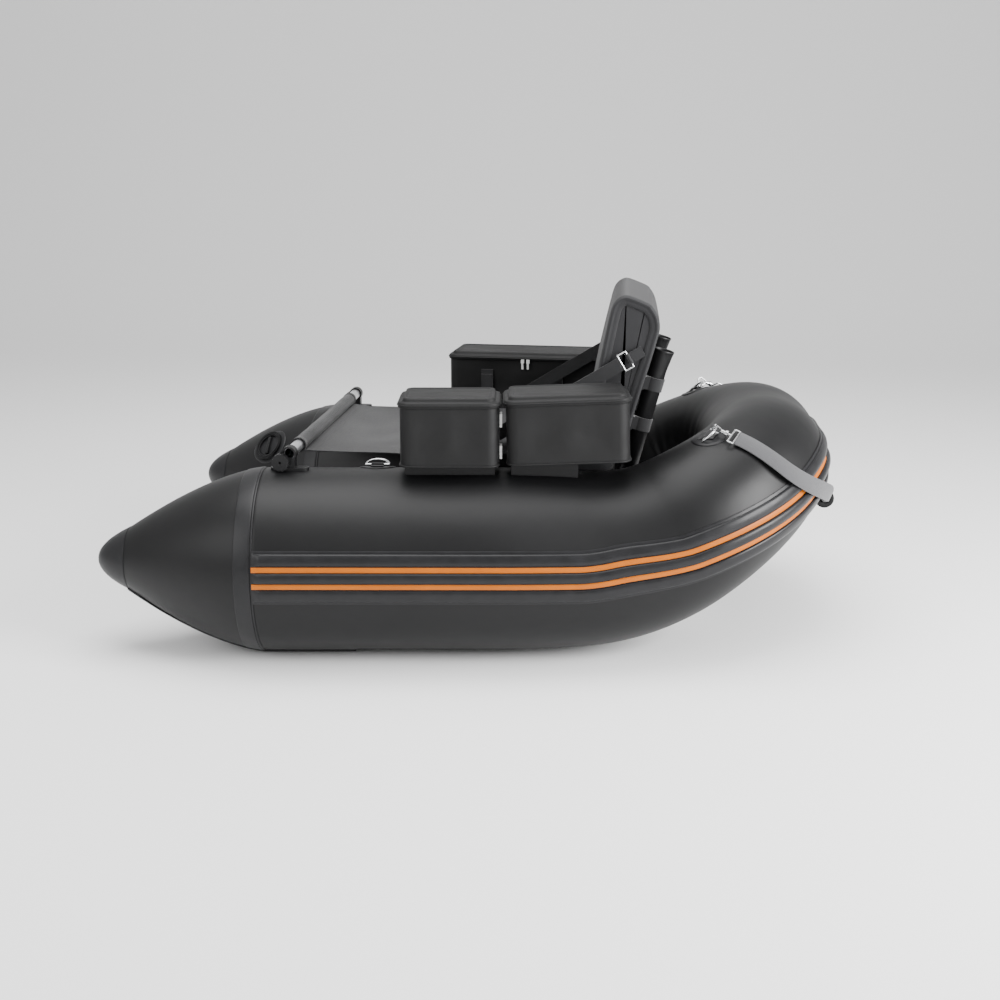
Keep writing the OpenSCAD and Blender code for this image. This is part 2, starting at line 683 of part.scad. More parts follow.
module stern_rings() {
    color("silver") both_sides() stern_ring_place() d_ring(stern_ring_tilt);
}
module strap_anchors() {
    color([0.09, 0.09, 0.09]) both_sides() {
        skin_patch(anchor_s, anchor_q, 20, 34);
        skin_frame(anchor_s, anchor_q, anchor_s - 40, anchor_q - 8)
            translate([-8, -back_strap_w / 2 - 2, 1.2]) cube([10, back_strap_w + 4, 4.4]);
    }
}

// ---- Stern strap with its hooks and grip --------------------------------------------------------
hook_r = 10;
hook_wire_r = 2;
hook_droop = 32;                 // angle of the hook below the skin's plane at the ring
ring_reach = ring_w / 2 - wire_r - 0.2 - hook_wire_r + hook_r;
gate_hinge = 30;                 // angles round the hook's ring of the gate's two ends
gate_tip = 110;
gate_gap = 1.6;
eye_w = 44;
eye_x = hook_r + 24;
eye_l = 12;
// Origin at the middle of the hook's ring, x towards the strap, ring in the x-z plane
module hook_place() {
    stern_ring_place() translate([0, 0, pivot_h]) rotate([0, -stern_ring_tilt, 0])
        translate([ring_reach, 0, 0]) rotate([0, stern_ring_tilt + hook_droop, 0]) children();
}
module snap_hook() {
    color("silver") hook_place() {
        rotate([90, 0, 0]) rotate([0, 0, gate_tip]) rotate_extrude(
            angle = 360 - gate_tip + gate_hinge) translate([hook_r, 0])
                circle(hook_wire_r, $fn = 32);
        translate([hook_r, 0, 0]) rotate([0, 90, 0]) cylinder(h = 12, r = 4);
        translate([hook_r + 11, 0, 0]) rotate([0, 90, 0]) cylinder(h = 5, r = 6.5);
        translate([hook_r + 15, 0, 0]) rotate([0, 90, 0]) cylinder(h = 9, r = 2.5);
        translate([eye_x, 0, 0]) {
            rotate([90, 0, 0]) cylinder(h = eye_w, r = hook_wire_r, center = true);
            translate([eye_l, 0, 0]) rotate([90, 0, 0])
                cylinder(h = eye_w, r = hook_wire_r, center = true);
            for (y = [-1, 1]) translate([0, y * eye_w / 2, 0]) {
                rotate([0, 90, 0]) cylinder(h = eye_l, r = hook_wire_r);
                sphere(hook_wire_r);
                translate([eye_l, 0, 0]) sphere(hook_wire_r);
            }
        }
    }
}
module port_snap_hook() { snap_hook(); }
module starboard_snap_hook() { mirror([0, 1, 0]) snap_hook(); }
module hook_gate() {
    // Sprung bar that closes the hook's mouth, hinged at its strap end
    a = hook_r * [cos(gate_hinge), sin(gate_hinge)];
    b = hook_r * [cos(gate_tip), sin(gate_tip)];
    len = norm(b - a);
    turn = atan2(b[1] - a[1], b[0] - a[0]);
    color("silver") hook_place() rotate([90, 0, 0]) translate([a[0], a[1], 0])
        rotate([0, 0, turn]) rotate([0, 90, 0]) translate([0, 0, gate_gap])
            cylinder(h = len - 2 * gate_gap, r = 1.5);
}
module port_hook_gate() { hook_gate(); }
module starboard_hook_gate() { mirror([0, 1, 0]) hook_gate(); }

grip_bore = 20;
grip_mid = path_pt(path_len) + grip_dist * [-cos(grip_angle), 0, sin(grip_angle)];
strap_t = 2.4;
fold_w = 16;                     // the webbing folds to this width inside the grip
fold_t = 8;
// Route over the hull from the hook to the grip's end: s, q and height above the skin
strap_from = [hook_s + 2, hook_q - 6, 9];
strap_to = [path_len - grip_l / 2 - 14, -63, 30];
strap_bulge = strake_rib_h + 4;
ring_n = skin_out(stern_ring_s, stern_ring_q);
ring_x_dir = skin_toward(stern_ring_s, stern_ring_q, hook_s, hook_q);
hook_dir = cos(hook_droop) * ring_x_dir - sin(hook_droop) * ring_n;
eye_end = hull_pt(stern_ring_s, stern_ring_q, pivot_h)
    + ring_reach * (cos(stern_ring_tilt) * ring_x_dir + sin(stern_ring_tilt) * ring_n)
    + (eye_x + eye_l + hook_wire_r + seat_fit) * hook_dir;
strap_bow = 2.4;                 // how late the route turns in: 1 would be a straight run
strap_run = 260;                 // rough length of the strap from a hook to the grip
// It leaves the hook's eye in the hook's direction and blends into the route over the hull
function strap_at(t) = let (k = smooth(clamp01(t / 0.3)))
    (1 - k) * (eye_end + t * strap_run * hook_dir) + k * strap_route(t);
// It drops down the stern's side before it turns in towards the grip
function strap_s(t) = strap_from[0] + (strap_to[0] - strap_from[0]) * pow(max(t, 0), strap_bow);
function strap_route(t) = hull_pt(
    strap_s(t),
    strap_from[1] + (strap_to[1] - strap_from[1]) * t,
    t < 0.3 ? strap_from[2] + (strap_bulge - strap_from[2]) * smooth(t / 0.3)
    : t < 0.7 ? strap_bulge
    : strap_bulge + (strap_to[2] - strap_bulge) * smooth((t - 0.7) / 0.3));
function strap_ring(t) = let (
    p = strap_at(t),
    along = unit(strap_at(t + 0.01) - strap_at(t - 0.01)),
    out = unit(p - path_pt(strap_s(t))),
    side = unit(cross(out, along)),
    face = cross(along, side),
    k = smooth(clamp01((t - 0.8) / 0.2)),
    half_w = (strap_w + (fold_w - strap_w) * k) / 2,
    half_t = (strap_t + (fold_t - strap_t) * k) / 2)
    [p + half_w * side + half_t * face, p + half_w * side - half_t * face,
     p - half_w * side - half_t * face, p - half_w * side + half_t * face];
function grip_ring(y) = let (
    side = [sin(grip_angle), 0, cos(grip_angle)],
    face = [-cos(grip_angle), 0, sin(grip_angle)])
    [for (k = [[-1, 1], [-1, -1], [1, -1], [1, 1]])
        grip_mid + [0, y, 0] + k[0] * fold_w / 2 * side + k[1] * fold_t / 2 * face];
module carry_strap() {
    port = concat([for (t = steps(0, 1, 16)) strap_ring(t)],
        [for (y = steps(grip_l / 2 - 4, 20, 2)) grip_ring(y)]);
    starboard = [for (i = [len(port) - 1 : -1 : 0]) [for (p = port[i]) mirror_pt(p)]];
    color([0.30, 0.30, 0.30]) loft(concat(port, starboard));
}
module carry_grip() {
    color([0.05, 0.05, 0.05]) translate(grip_mid) rotate([90, 0, 0]) difference() {
        cylinder(h = grip_l, d = grip_d, center = true);
        cylinder(h = grip_l + 2, d = grip_bore, center = true);
    }
}

// ---- Tackle boxes ---------------------------------------------------------------------------------
// Each box lies on a shaped pad on top of its tube. In a box's frame x runs forward, -y is the
// inboard side and z = 0 is the box's underside.
bow_box_aft = 304;               // from the cone base back to the front of the port front box
long_box_aft = 334;
box_gap = 19;                    // between the two port boxes
box_lift = 22;                   // height of a box's underside above the tube's straight crest
mid_box_tilt = 2;
lid_over = 4;
foot_over = 3;
foot_h = 4;
mid_box_aft = bow_box_aft + bow_box_l + box_gap;
module box_place(aft, l, tilt) {
    tube_frame() translate([-aft - l, 0, tube_r + box_lift])
        rotate([0, tilt, 0]) translate([l / 2, 0, 0]) children();
}
module bow_box_place() { box_place(bow_box_aft, bow_box_l, 0) children(); }
mid_box_rise = mid_box_l * sin(mid_box_tilt) + 3;
module mid_box_place() {
    translate([0, 0, mid_box_rise]) box_place(mid_box_aft, mid_box_l, mid_box_tilt) children();
}
module long_box_place() {
    mirror([0, 1, 0]) box_place(long_box_aft, long_box_l, 0) children();
}
module box_body(l) {
    color([0.10, 0.10, 0.105]) difference() {
        union() {
            linear_extrude(box_h) rounded(l, box_w, box_r);
            linear_extrude(foot_h) rounded(l + 2 * foot_over, box_w + 2 * foot_over,
                box_r + foot_over);
        }
        translate([0, 0, box_wall]) linear_extrude(box_h)
            rounded(l - 2 * box_wall, box_w - 2 * box_wall, box_r - box_wall);
    }
}
lid_wall = 4;
module box_lid(l) {
    rim_l = l + 2 * lid_over;
    rim_w = box_w + 2 * lid_over;
    color([0.12, 0.12, 0.125]) translate([0, 0, box_h + seat_fit]) difference() {
        union() {
            linear_extrude(lid_rim_h) rounded(rim_l, rim_w, box_r + lid_over);
            linear_extrude(lid_rim_h + lid_crown_h)
                rounded(rim_l - 20, rim_w - 20, box_r + lid_over - 8);
        }
        translate([0, 0, -1]) linear_extrude(lid_rim_h + lid_crown_h - lid_wall + 1)
            rounded(rim_l - 34, rim_w - 34, box_r - 6);
        translate([0, 0, lid_rim_h + lid_crown_h - 1.5]) linear_extrude(5)
            rounded(rim_l - 44, rim_w - 44, box_r - 8);
    }
}
module bow_box() { bow_box_place() box_body(bow_box_l); }
module bow_box_lid() { bow_box_place() box_lid(bow_box_l); }
module mid_box() { mid_box_place() box_body(mid_box_l); }
module mid_box_lid() { mid_box_place() box_lid(mid_box_l); }
module long_box() { long_box_place() box_body(long_box_l); }
module long_box_lid() { long_box_place() box_lid(long_box_l); }

pull_gap = 7;
module zip_pull(x) {
    // Slider on the zip under the lid's inboard edge, with its hanging tab
    y = -box_w / 2 - lid_over - seat_fit;
    color([0.85, 0.85, 0.85]) translate([x, y, box_h]) {
        translate([-4, -5, -5]) cube([8, 5, 9]);
        translate([-2.5, -6.5, -20]) cube([5, 1.5, 17]);
    }
}
module bow_box_fore_pull() { bow_box_place() zip_pull(pull_gap); }
module bow_box_aft_pull() { bow_box_place() zip_pull(-pull_gap); }
module mid_box_fore_pull() { mid_box_place() zip_pull(pull_gap); }
module mid_box_aft_pull() { mid_box_place() zip_pull(-pull_gap); }
module long_box_fore_pull() { long_box_place() zip_pull(pull_gap); }
module long_box_aft_pull() { long_box_place() zip_pull(-pull_gap); }

loop_w = 30;
module webbing_loops(l) {
    // Two upright webbing loops on the inboard face, stitched at their ends
    for (x = [-l * 0.2, l * 0.25]) translate([x - loop_w / 2, -box_w / 2 - 2.4, 0]) {
        translate([0, 0, 40]) cube([loop_w, 2.4, 62]);
        translate([0, -2.4, 56]) cube([loop_w, 2.4, 34]);
    }
}
module box_webbing() {
    color([0.07, 0.07, 0.07]) {
        bow_box_place() {
            webbing_loops(bow_box_l);
            translate([-bow_box_l / 2 - 2.4, 28, 8]) cube([2.4, 25, box_h - 16]);
        }
        mid_box_place() webbing_loops(mid_box_l);
        long_box_place() webbing_loops(long_box_l);
    }
}
module box_tie_buckles() {
    // Side-release buckles of the strap that ties down the port front box
    color([0.62, 0.62, 0.62]) bow_box_place() for (z = [14, 82])
        translate([-bow_box_l / 2 - 2.4 - 5, 26, z]) cube([5, 29, 28]);
}

// Pads between the boxes and the tubes: hollowed to the tube below, flat on top. They end
// where the tube starts to rise.
pad_turn = 11;                   // degrees that a pad reaches to each side of the crest
module pad(aft, l, tilt, lift) {
    tube_aft = [-cos(toe), -sin(toe), 0];
    box_z = axis_z + tube_r + box_lift + lift - slip;
    last = min(aft + l - 8, straight_len);
    inner = [for (s = tube_stations) if (s > aft + 20 && s < last - 5) s];
    loft([for (s = concat([aft + 8], inner, [last]))
        concat(
            [for (v = steps(-pad_turn, pad_turn, 6)) hull_pt(s, 90 + v, skin_gap)],
            [for (side = [-1, 1]) let (p = hull_pt(s, 90 - side * pad_turn))
                [p[0], p[1], box_z - (aft + l - (p - cone_base) * tube_aft) * tan(tilt)]])]);
}
module box_pads() {
    color([0.05, 0.05, 0.05]) {
        pad(bow_box_aft, bow_box_l, 0, 0);
        pad(mid_box_aft, mid_box_l, mid_box_tilt, mid_box_rise);
        mirror([0, 1, 0]) pad(long_box_aft, long_box_l, 0, 0);
    }
}

port_tube();
starboard_tube();
stern_bulkhead();
port_bow_cone();
starboard_bow_cone();
tip_caps();
cone_seam_bands();
rub_strake();
strake_stripes();
keel_strips();
port_valve_body();
starboard_valve_body();
port_valve_cap();
starboard_valve_cap();
port_valve_plunger();
starboard_valve_plunger();
port_valve_spring();
starboard_valve_spring();
front_bar();
bar_brackets();
port_bar_knob();
starboard_bar_knob();
apron();
seat_sling();
seat_cushion();
backrest();
port_rod_holder();
starboard_rod_holder();
rod_holder_sleeves();
port_back_strap();
starboard_back_strap();
port_back_ring();
starboard_back_ring();
back_ring_tabs();
strap_anchors();
box_pads();
bow_box();
bow_box_lid();
mid_box();
mid_box_lid();
long_box();
long_box_lid();
bow_box_fore_pull();
bow_box_aft_pull();
mid_box_fore_pull();
mid_box_aft_pull();
long_box_fore_pull();
long_box_aft_pull();
box_webbing();
box_tie_buckles();
ring_patches();
port_bow_ring();
starboard_bow_ring();
stern_rings();
port_snap_hook();
starboard_snap_hook();
port_hook_gate();
starboard_hook_gate();
carry_strap();
carry_grip();
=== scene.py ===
import json
import math

import bmesh
import bpy
from mathutils import Matrix, Vector

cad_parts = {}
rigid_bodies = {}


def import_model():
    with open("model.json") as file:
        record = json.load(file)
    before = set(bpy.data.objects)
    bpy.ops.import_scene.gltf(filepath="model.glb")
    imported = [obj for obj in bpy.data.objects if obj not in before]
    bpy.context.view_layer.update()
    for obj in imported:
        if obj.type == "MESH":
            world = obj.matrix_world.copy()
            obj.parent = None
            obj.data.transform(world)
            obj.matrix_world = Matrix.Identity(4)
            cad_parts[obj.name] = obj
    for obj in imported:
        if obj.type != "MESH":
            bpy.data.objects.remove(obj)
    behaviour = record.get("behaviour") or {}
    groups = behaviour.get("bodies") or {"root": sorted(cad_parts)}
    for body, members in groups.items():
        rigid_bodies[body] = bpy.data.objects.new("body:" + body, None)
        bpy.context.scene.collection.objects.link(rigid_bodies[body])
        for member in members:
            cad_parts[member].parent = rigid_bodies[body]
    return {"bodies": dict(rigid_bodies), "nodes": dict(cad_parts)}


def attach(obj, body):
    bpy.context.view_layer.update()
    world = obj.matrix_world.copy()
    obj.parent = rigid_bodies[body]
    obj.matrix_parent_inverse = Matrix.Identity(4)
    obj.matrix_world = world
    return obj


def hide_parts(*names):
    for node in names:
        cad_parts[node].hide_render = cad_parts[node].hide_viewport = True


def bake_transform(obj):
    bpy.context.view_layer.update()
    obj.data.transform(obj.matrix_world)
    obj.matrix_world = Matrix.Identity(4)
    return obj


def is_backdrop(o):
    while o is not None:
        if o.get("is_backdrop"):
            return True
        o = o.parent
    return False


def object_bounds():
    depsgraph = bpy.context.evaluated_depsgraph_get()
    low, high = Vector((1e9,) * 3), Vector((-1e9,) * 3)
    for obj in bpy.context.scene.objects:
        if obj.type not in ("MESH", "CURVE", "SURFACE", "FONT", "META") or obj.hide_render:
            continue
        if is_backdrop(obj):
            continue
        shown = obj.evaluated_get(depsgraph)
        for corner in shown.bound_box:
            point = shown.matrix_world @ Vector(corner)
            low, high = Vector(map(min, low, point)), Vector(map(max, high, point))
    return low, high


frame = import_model()
cad_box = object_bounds()

# ---- Studio ---------------------------------------------------------------------------------
# A pale seamless sweep of paper, three broad soft boxes and a camera at chest height on the
# port side. The floor and the light aren't part of the boat.


def paint(code):
    """Linear colour of an sRGB hex value."""
    parts = [int(code[i:i + 2], 16) / 255 for i in (1, 3, 5)]
    return [p / 12.92 if p <= 0.04045 else ((p + 0.055) / 1.055) ** 2.4 for p in parts] + [1.0]


def node(mat, kind, feeds=(), **settings):
    """Adds a node, with its settings, socket values and links from other nodes' sockets."""
    made = mat.node_tree.nodes.new(kind)
    for key, value in settings.items():
        if hasattr(made, key):
            setattr(made, key, value)
        else:
            made.inputs[key.replace("_", " ")].default_value = value
    for key, source in dict(feeds).items():
        mat.node_tree.links.new(source, made.inputs[key])
    return made


def finish_of(name, tone, roughness, metallic=0.0, ior=1.33, sheen=0.0):
    """A material and its shader. Values that are the same all over stay on the shader."""
    mat = bpy.data.materials.new(name)
    mat.use_nodes = True
    shader = mat.node_tree.nodes["Principled BSDF"]
    shader.inputs["Base Color"].default_value = paint(tone)
    shader.inputs["Roughness"].default_value = roughness
    shader.inputs["Metallic"].default_value = metallic
    if not metallic:
        shader.inputs["IOR"].default_value = ior
    shader.inputs["Sheen Weight"].default_value = sheen
    return mat, shader


camera = bpy.data.objects.new("camera", bpy.data.cameras.new("camera"))
bpy.context.scene.collection.objects.link(camera)
camera.data.lens = 49.45
camera.data.sensor_width = 36
camera.location = (-0.3246, 3.2203, 1.0779)
camera.rotation_euler = Vector((0.0877, -0.9648, -0.2478)).to_track_quat("-Z", "Y").to_euler()
bpy.context.scene.camera = camera

paper, shader = finish_of("pale_backdrop_paper", "#f0f0f0", 0.9)
place = node(paper, "ShaderNodeTexCoord")
tooth = node(paper, "ShaderNodeTexNoise", {"Vector": place.outputs["Object"]}, Scale=300)
bump = node(paper, "ShaderNodeBump", {"Height": tooth.outputs["Fac"]}, Strength=0.05,
            Distance=0.0005)
paper.node_tree.links.new(bump.outputs["Normal"], shader.inputs["Normal"])
bm = bmesh.new()
bmesh.ops.create_grid(bm, x_segments=4, y_segments=60, size=12)
for v in bm.verts:
    run = v.co.y + 4.0
    if run < 0:
        turn = min(-run / 3.0, math.pi / 2)
        rise = max(-run - 3.0 * math.pi / 2, 0)
        v.co.y = -4.0 - 3.0 * math.sin(turn)
        v.co.z = 3.0 * (1 - math.cos(turn)) + rise
sweep_mesh = bpy.data.meshes.new("backdrop")
bm.to_mesh(sweep_mesh)
bm.free()
sweep_mesh.materials.append(paper)
for face in sweep_mesh.polygons:
    face.use_smooth = True
backdrop = bpy.data.objects.new("backdrop", sweep_mesh)
bpy.context.scene.collection.objects.link(backdrop)
backdrop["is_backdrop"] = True

world = bpy.data.worlds.new("studio")
bpy.context.scene.world = world
world.use_nodes = True
world.node_tree.nodes["Background"].inputs["Color"].default_value = paint("#e4e4e4")
world.node_tree.nodes["Background"].inputs["Strength"].default_value = 1.0
for name, at, size, power in (("top_box", (0.2, 0.2, 3.4), 3.0, 170), ("stern_box", (-3.0, 1.6, 1.5), 1.8, 300),
                              ("bow_box_light", (2.6, 2.8, 2.2), 2.2, 60)):
    lamp = bpy.data.objects.new(name, bpy.data.lights.new(name, "AREA"))
    bpy.context.scene.collection.objects.link(lamp)
    lamp.data.size = size
    lamp.data.energy = power
    lamp.location = at
    lamp.rotation_euler = (Vector((0, 0, 0.3)) - Vector(at)).to_track_quat("-Z", "Y").to_euler()

# ---- Air chambers ---------------------------------------------------------------------------
# Each side is one tube of PVC-coated polyester, cut in panels, hot-air welded and blown up
# hard: a cone at the bow, a straight run, an upward bend and half of the stern.
toe = math.radians(5)
straight = 0.682
rise_r = 0.441
rise_turn = math.radians(31.5)
corner_r = 0.242
taper_start = 0.510
bend_end = straight + rise_r * rise_turn
turn_end = bend_end + corner_r * (math.pi / 2 - toe)
path_end = 1.34285
cone_base = Vector((0.450418, 0.381, 0.205))
cone_l = 0.368
nose_l = 0.068
inboard = Vector((0, -1, 0))


def eased(t):
    t = max(0.0, min(1.0, t))
    return t * t * (3 - 2 * t)


def aft_way(a):
    return Vector((-math.cos(a), 0, math.sin(a)))


def centre_line(s):
    """Point on the port tube's axis, and the directions outboard and up from it."""
    tilt = 0.0 if s <= straight else min((s - straight) / rise_r, rise_turn)
    turn = toe if s <= bend_end else min(toe + (s - bend_end) / corner_r, math.pi / 2)
    at = cone_base + min(s, straight) * (math.cos(toe) * aft_way(0) + math.sin(toe) * inboard)
    at += rise_r * Vector((-math.sin(tilt) * math.cos(toe), -tilt * math.sin(toe),
                           (1 - math.cos(tilt)) * math.cos(toe)))
    at += corner_r * ((math.sin(turn) - math.sin(toe)) * aft_way(rise_turn)
                      + (math.cos(toe) - math.cos(turn)) * inboard)
    at += max(s - turn_end, 0) * inboard
    out = math.sin(turn) * aft_way(tilt) - math.cos(turn) * inboard
    return at, out, Vector((math.sin(tilt), 0, math.cos(tilt)))


def tube_radius(s):
    if s >= 0:
        return 0.200 - 0.058 * eased((s - taper_start) / (path_end - taper_start))
    radius = 0.200 * (1 - (min(-s, cone_l - nose_l) / (cone_l * 1.07)) ** 1.5)
    return radius * math.sqrt(max(0, min(1, (cone_l + s) / nose_l)))


def on_hull(s, q, h=0.0):
    """Point h above the port skin, s along the tube and q degrees up from its outer side."""
    at, out, up = centre_line(s)
    q = math.radians(q)
    return at + (tube_radius(s) + h) * (math.cos(q) * out + math.sin(q) * up)


def swept(stations, profile, at, caps=True, closed=True):
    """A skin through a closed profile of (a, b) points carried along stations. Its UV map is in
    the units of the stations and of the profile."""
    bm = bmesh.new()
    rows, cols = len(stations) - 1, len(profile) - (0 if closed else 1)
    bmesh.ops.create_grid(bm, x_segments=rows, y_segments=cols, size=0.5)
    ring = list(profile) + [profile[0]]
    reach = [0.0]
    for a, b in zip(ring, ring[1:]):
        reach.append(reach[-1] + math.dist(a, b))
    uv = bm.loops.layers.uv.new("UVMap")
    spot = {v: (round((v.co.x + 0.5) * rows), round((v.co.y + 0.5) * cols)) for v in bm.verts}
    for face in bm.faces:
        for loop in face.loops:
            i, j = spot[loop.vert]
            loop[uv].uv = (stations[i], reach[j])
    for v, (i, j) in spot.items():
        v.co = at(stations[i], *ring[j])
    bmesh.ops.remove_doubles(bm, verts=bm.verts, dist=1e-6)
    bmesh.ops.dissolve_degenerate(bm, edges=bm.edges, dist=1e-7)
    if caps:
        bmesh.ops.holes_fill(bm, edges=[e for e in bm.edges if e.is_boundary], sides=0)
    bmesh.ops.recalc_face_normals(bm, faces=bm.faces)
    return bm


def run(first, last, count):
    return [first + (last - first) * i / count for i in range(count + 1)]


def circle(count):
    return [(360 * i / count, 0.0) for i in range(count)]


def mirrored(bm):
    """The same piece for the starboard side."""
    other = bm.copy()
    bmesh.ops.scale(other, vec=(1, -1, 1), verts=other.verts)
    bmesh.ops.reverse_faces(other, faces=other.faces)
    return other


def piece(bm, name, mat, body="hull", stands_for=(), crease=60):
    """Makes a piece of the boat from its mesh and hides the CAD parts it stands for. It rides on its body, or on none
    when no body is given, as for a strap that runs between two."""
    mesh = bpy.data.meshes.new(name)
    for edge in bm.edges:
        edge.smooth = len(edge.link_faces) != 2 or edge.calc_face_angle(0) < math.radians(crease)
    for face in bm.faces:
        face.smooth = True
    bm.to_mesh(mesh)
    bm.free()
    mesh.materials.append(mat)
    made = bpy.data.objects.new(name, mesh)
    bpy.context.scene.collection.objects.link(made)
    if body:
        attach(made, body)
    if stands_for:
        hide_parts(*stands_for)
    return made


# Calendered PVC over a 1000-denier weave: almost black, satin, with the weave just showing
# through (1 mm threads drawn at 3 mm), dust in broad clouds and a slow wave in the skin.
coated_cloth, shader = finish_of("calendered_pvc_tube_cloth", "#101012", 0.44)
place = node(coated_cloth, "ShaderNodeTexCoord")
dust = node(coated_cloth, "ShaderNodeTexNoise", {"Vector": place.outputs["Object"]}, Scale=3.5, Detail=6)
tone = node(coated_cloth, "ShaderNodeValToRGB", {"Fac": dust.outputs["Fac"]})
tone.color_ramp.elements[0].color = paint("#080809")
tone.color_ramp.elements[1].color = paint("#101011")
tone.color_ramp.elements[0].position = 0.3
tone.color_ramp.elements[1].position = 0.75
weave = node(coated_cloth, "ShaderNodeTexNoise", {"Vector": place.outputs["Object"]}, Scale=520, Detail=2)
wave = node(coated_cloth, "ShaderNodeTexNoise", {"Vector": place.outputs["Object"]}, Scale=9, Detail=2)
gloss = node(coated_cloth, "ShaderNodeMapRange", {"Value": dust.outputs["Fac"]}, To_Min=0.38, To_Max=0.52)
slow = node(coated_cloth, "ShaderNodeBump", {"Height": wave.outputs["Fac"]}, Strength=0.35, Distance=0.004)
grain = node(coated_cloth, "ShaderNodeBump", {"Height": weave.outputs["Fac"], "Normal": slow.outputs["Normal"]},
             Strength=0.22, Distance=0.0004)
link = coated_cloth.node_tree.links.new
link(tone.outputs["Color"], shader.inputs["Base Color"])
link(gloss.outputs["Result"], shader.inputs["Roughness"])
link(grain.outputs["Normal"], shader.inputs["Normal"])


def skin_at(s, q, _):
    """The blown-up skin: a nip at the cone's weld and puckers inside the stern corner."""
    h = -0.0022 * math.exp(-((s + 0.001) / 0.005) ** 2)
    inside = math.exp(-((q - 180) / 42) ** 2)
    corner = eased((s - bend_end + 0.05) / 0.08) * eased((path_end - 0.02 - s) / 0.08)
    h -= 0.0026 * inside * corner * (0.5 + 0.5 * math.cos(2 * math.pi * (s - bend_end) / 0.047))
    return on_hull(s, q, h)


skin = swept(run(-cone_l, -0.02, 50) + run(-0.012, 0.012, 8) + run(0.022, path_end, 170), circle(96), skin_at)
piece(mirrored(skin), "starboard_chamber", coated_cloth, stands_for=("starboard_tube", "starboard_bow_cone"))
piece(skin, "port_chamber", coated_cloth, stands_for=("port_tube", "port_bow_cone"))
frame["nodes"]["stern_bulkhead"].data.materials.clear()
frame["nodes"]["stern_bulkhead"].data.materials.append(coated_cloth)

# ---- Seam bands and tip caps ------------------------------------------------------------------
# A 36 mm tape of the same PVC is welded over each cone's base, and a moulded PVC cap with a
# rolled rim covers the point, where the cone's panels meet.
calendered, shader = finish_of("welded_pvc_tape", "#151517", 0.4)
place = node(calendered, "ShaderNodeTexCoord")
scuff = node(calendered, "ShaderNodeTexNoise", {"Vector": place.outputs["Object"]}, Scale=60, Detail=8, Roughness=0.7)
gloss = node(calendered, "ShaderNodeMapRange", {"Value": scuff.outputs["Fac"]}, To_Min=0.3, To_Max=0.52)
grain = node(calendered, "ShaderNodeBump", {"Height": scuff.outputs["Fac"]}, Strength=0.15, Distance=0.0006)
tone = node(calendered, "ShaderNodeValToRGB", {"Fac": scuff.outputs["Fac"]})
tone.color_ramp.elements[0].color = paint("#101011")
tone.color_ramp.elements[1].color = paint("#1c1c1e")
link = calendered.node_tree.links.new
link(tone.outputs["Color"], shader.inputs["Base Color"])
link(gloss.outputs["Result"], shader.inputs["Roughness"])
link(grain.outputs["Normal"], shader.inputs["Normal"])


def soft_band(first, last, height, edge=0.0025):
    """Profile of a flat band with rolled edges, from its first to its last edge."""
    flat = [(spot, height) for spot in run(first + edge, last - edge, 12)]
    return [(first, 0.0002), (first, height * 0.6), (first + edge * 0.4, height * 0.92), *flat,
            (last - edge * 0.4, height * 0.92), (last, height * 0.6), (last, 0.0002)]


def round_tube(q, s, h):
    return on_hull(s, q, h)


turns = run(0, 360, 96)
band = swept(turns, soft_band(-0.036, -0.001, 0.0013), round_tube, caps=False)
second = swept(turns, soft_band(0.0, 0.004, 0.0008, 0.001), round_tube, caps=False)
cap_side = ([(-0.296, 0.0), (-0.2965, 0.0009), (-0.298, 0.0014), (-0.301, 0.0015)]
            + [(-0.3679 + 0.066 * (1 - math.sin(math.radians(a))), 0.0015) for a in range(5, 91, 5)])
cap = swept(turns, cap_side + [(-0.3679, 0.0)], round_tube, caps=False)
for bm, name, node_name in ((band, "cone_base_tape", "cone_seam_bands"), (second, "cone_weld_bead", None),
                            (cap, "tip_cap", "tip_caps")):
    piece(mirrored(bm), "starboard_" + name, calendered, stands_for=[node_name] if node_name else ())
    piece(bm, "port_" + name, calendered, stands_for=[node_name] if node_name else ())

# ---- Rubbing strake -----------------------------------------------------------------------------
# Extruded PVC glued round the outside of the hull: a thin flange with three rounded ribs, and
# a coloured strip let into each of the two grooves.
extruded, shader = finish_of("extruded_pvc_strake", "#141416", 0.36)
place = node(extruded, "ShaderNodeTexCoord")
drawn = node(extruded, "ShaderNodeMapping", {"Vector": place.outputs["UV"]}, Scale=(6, 2600, 1))
lines = node(extruded, "ShaderNodeTexNoise", {"Vector": drawn.outputs["Vector"]}, Scale=1, Detail=3)
scuff = node(extruded, "ShaderNodeTexNoise", {"Vector": place.outputs["Object"]}, Scale=35, Detail=7)
tone = node(extruded, "ShaderNodeValToRGB", {"Fac": scuff.outputs["Fac"]})
tone.color_ramp.elements[0].color = paint("#0f0f10")
tone.color_ramp.elements[1].color = paint("#1d1d1f")
gloss = node(extruded, "ShaderNodeMapRange", {"Value": scuff.outputs["Fac"]}, To_Min=0.26, To_Max=0.46)
grain = node(extruded, "ShaderNodeBump", {"Height": lines.outputs["Fac"]}, Strength=0.12, Distance=0.0005)
link = extruded.node_tree.links.new
link(tone.outputs["Color"], shader.inputs["Base Color"])
link(gloss.outputs["Result"], shader.inputs["Roughness"])
link(grain.outputs["Normal"], shader.inputs["Normal"])

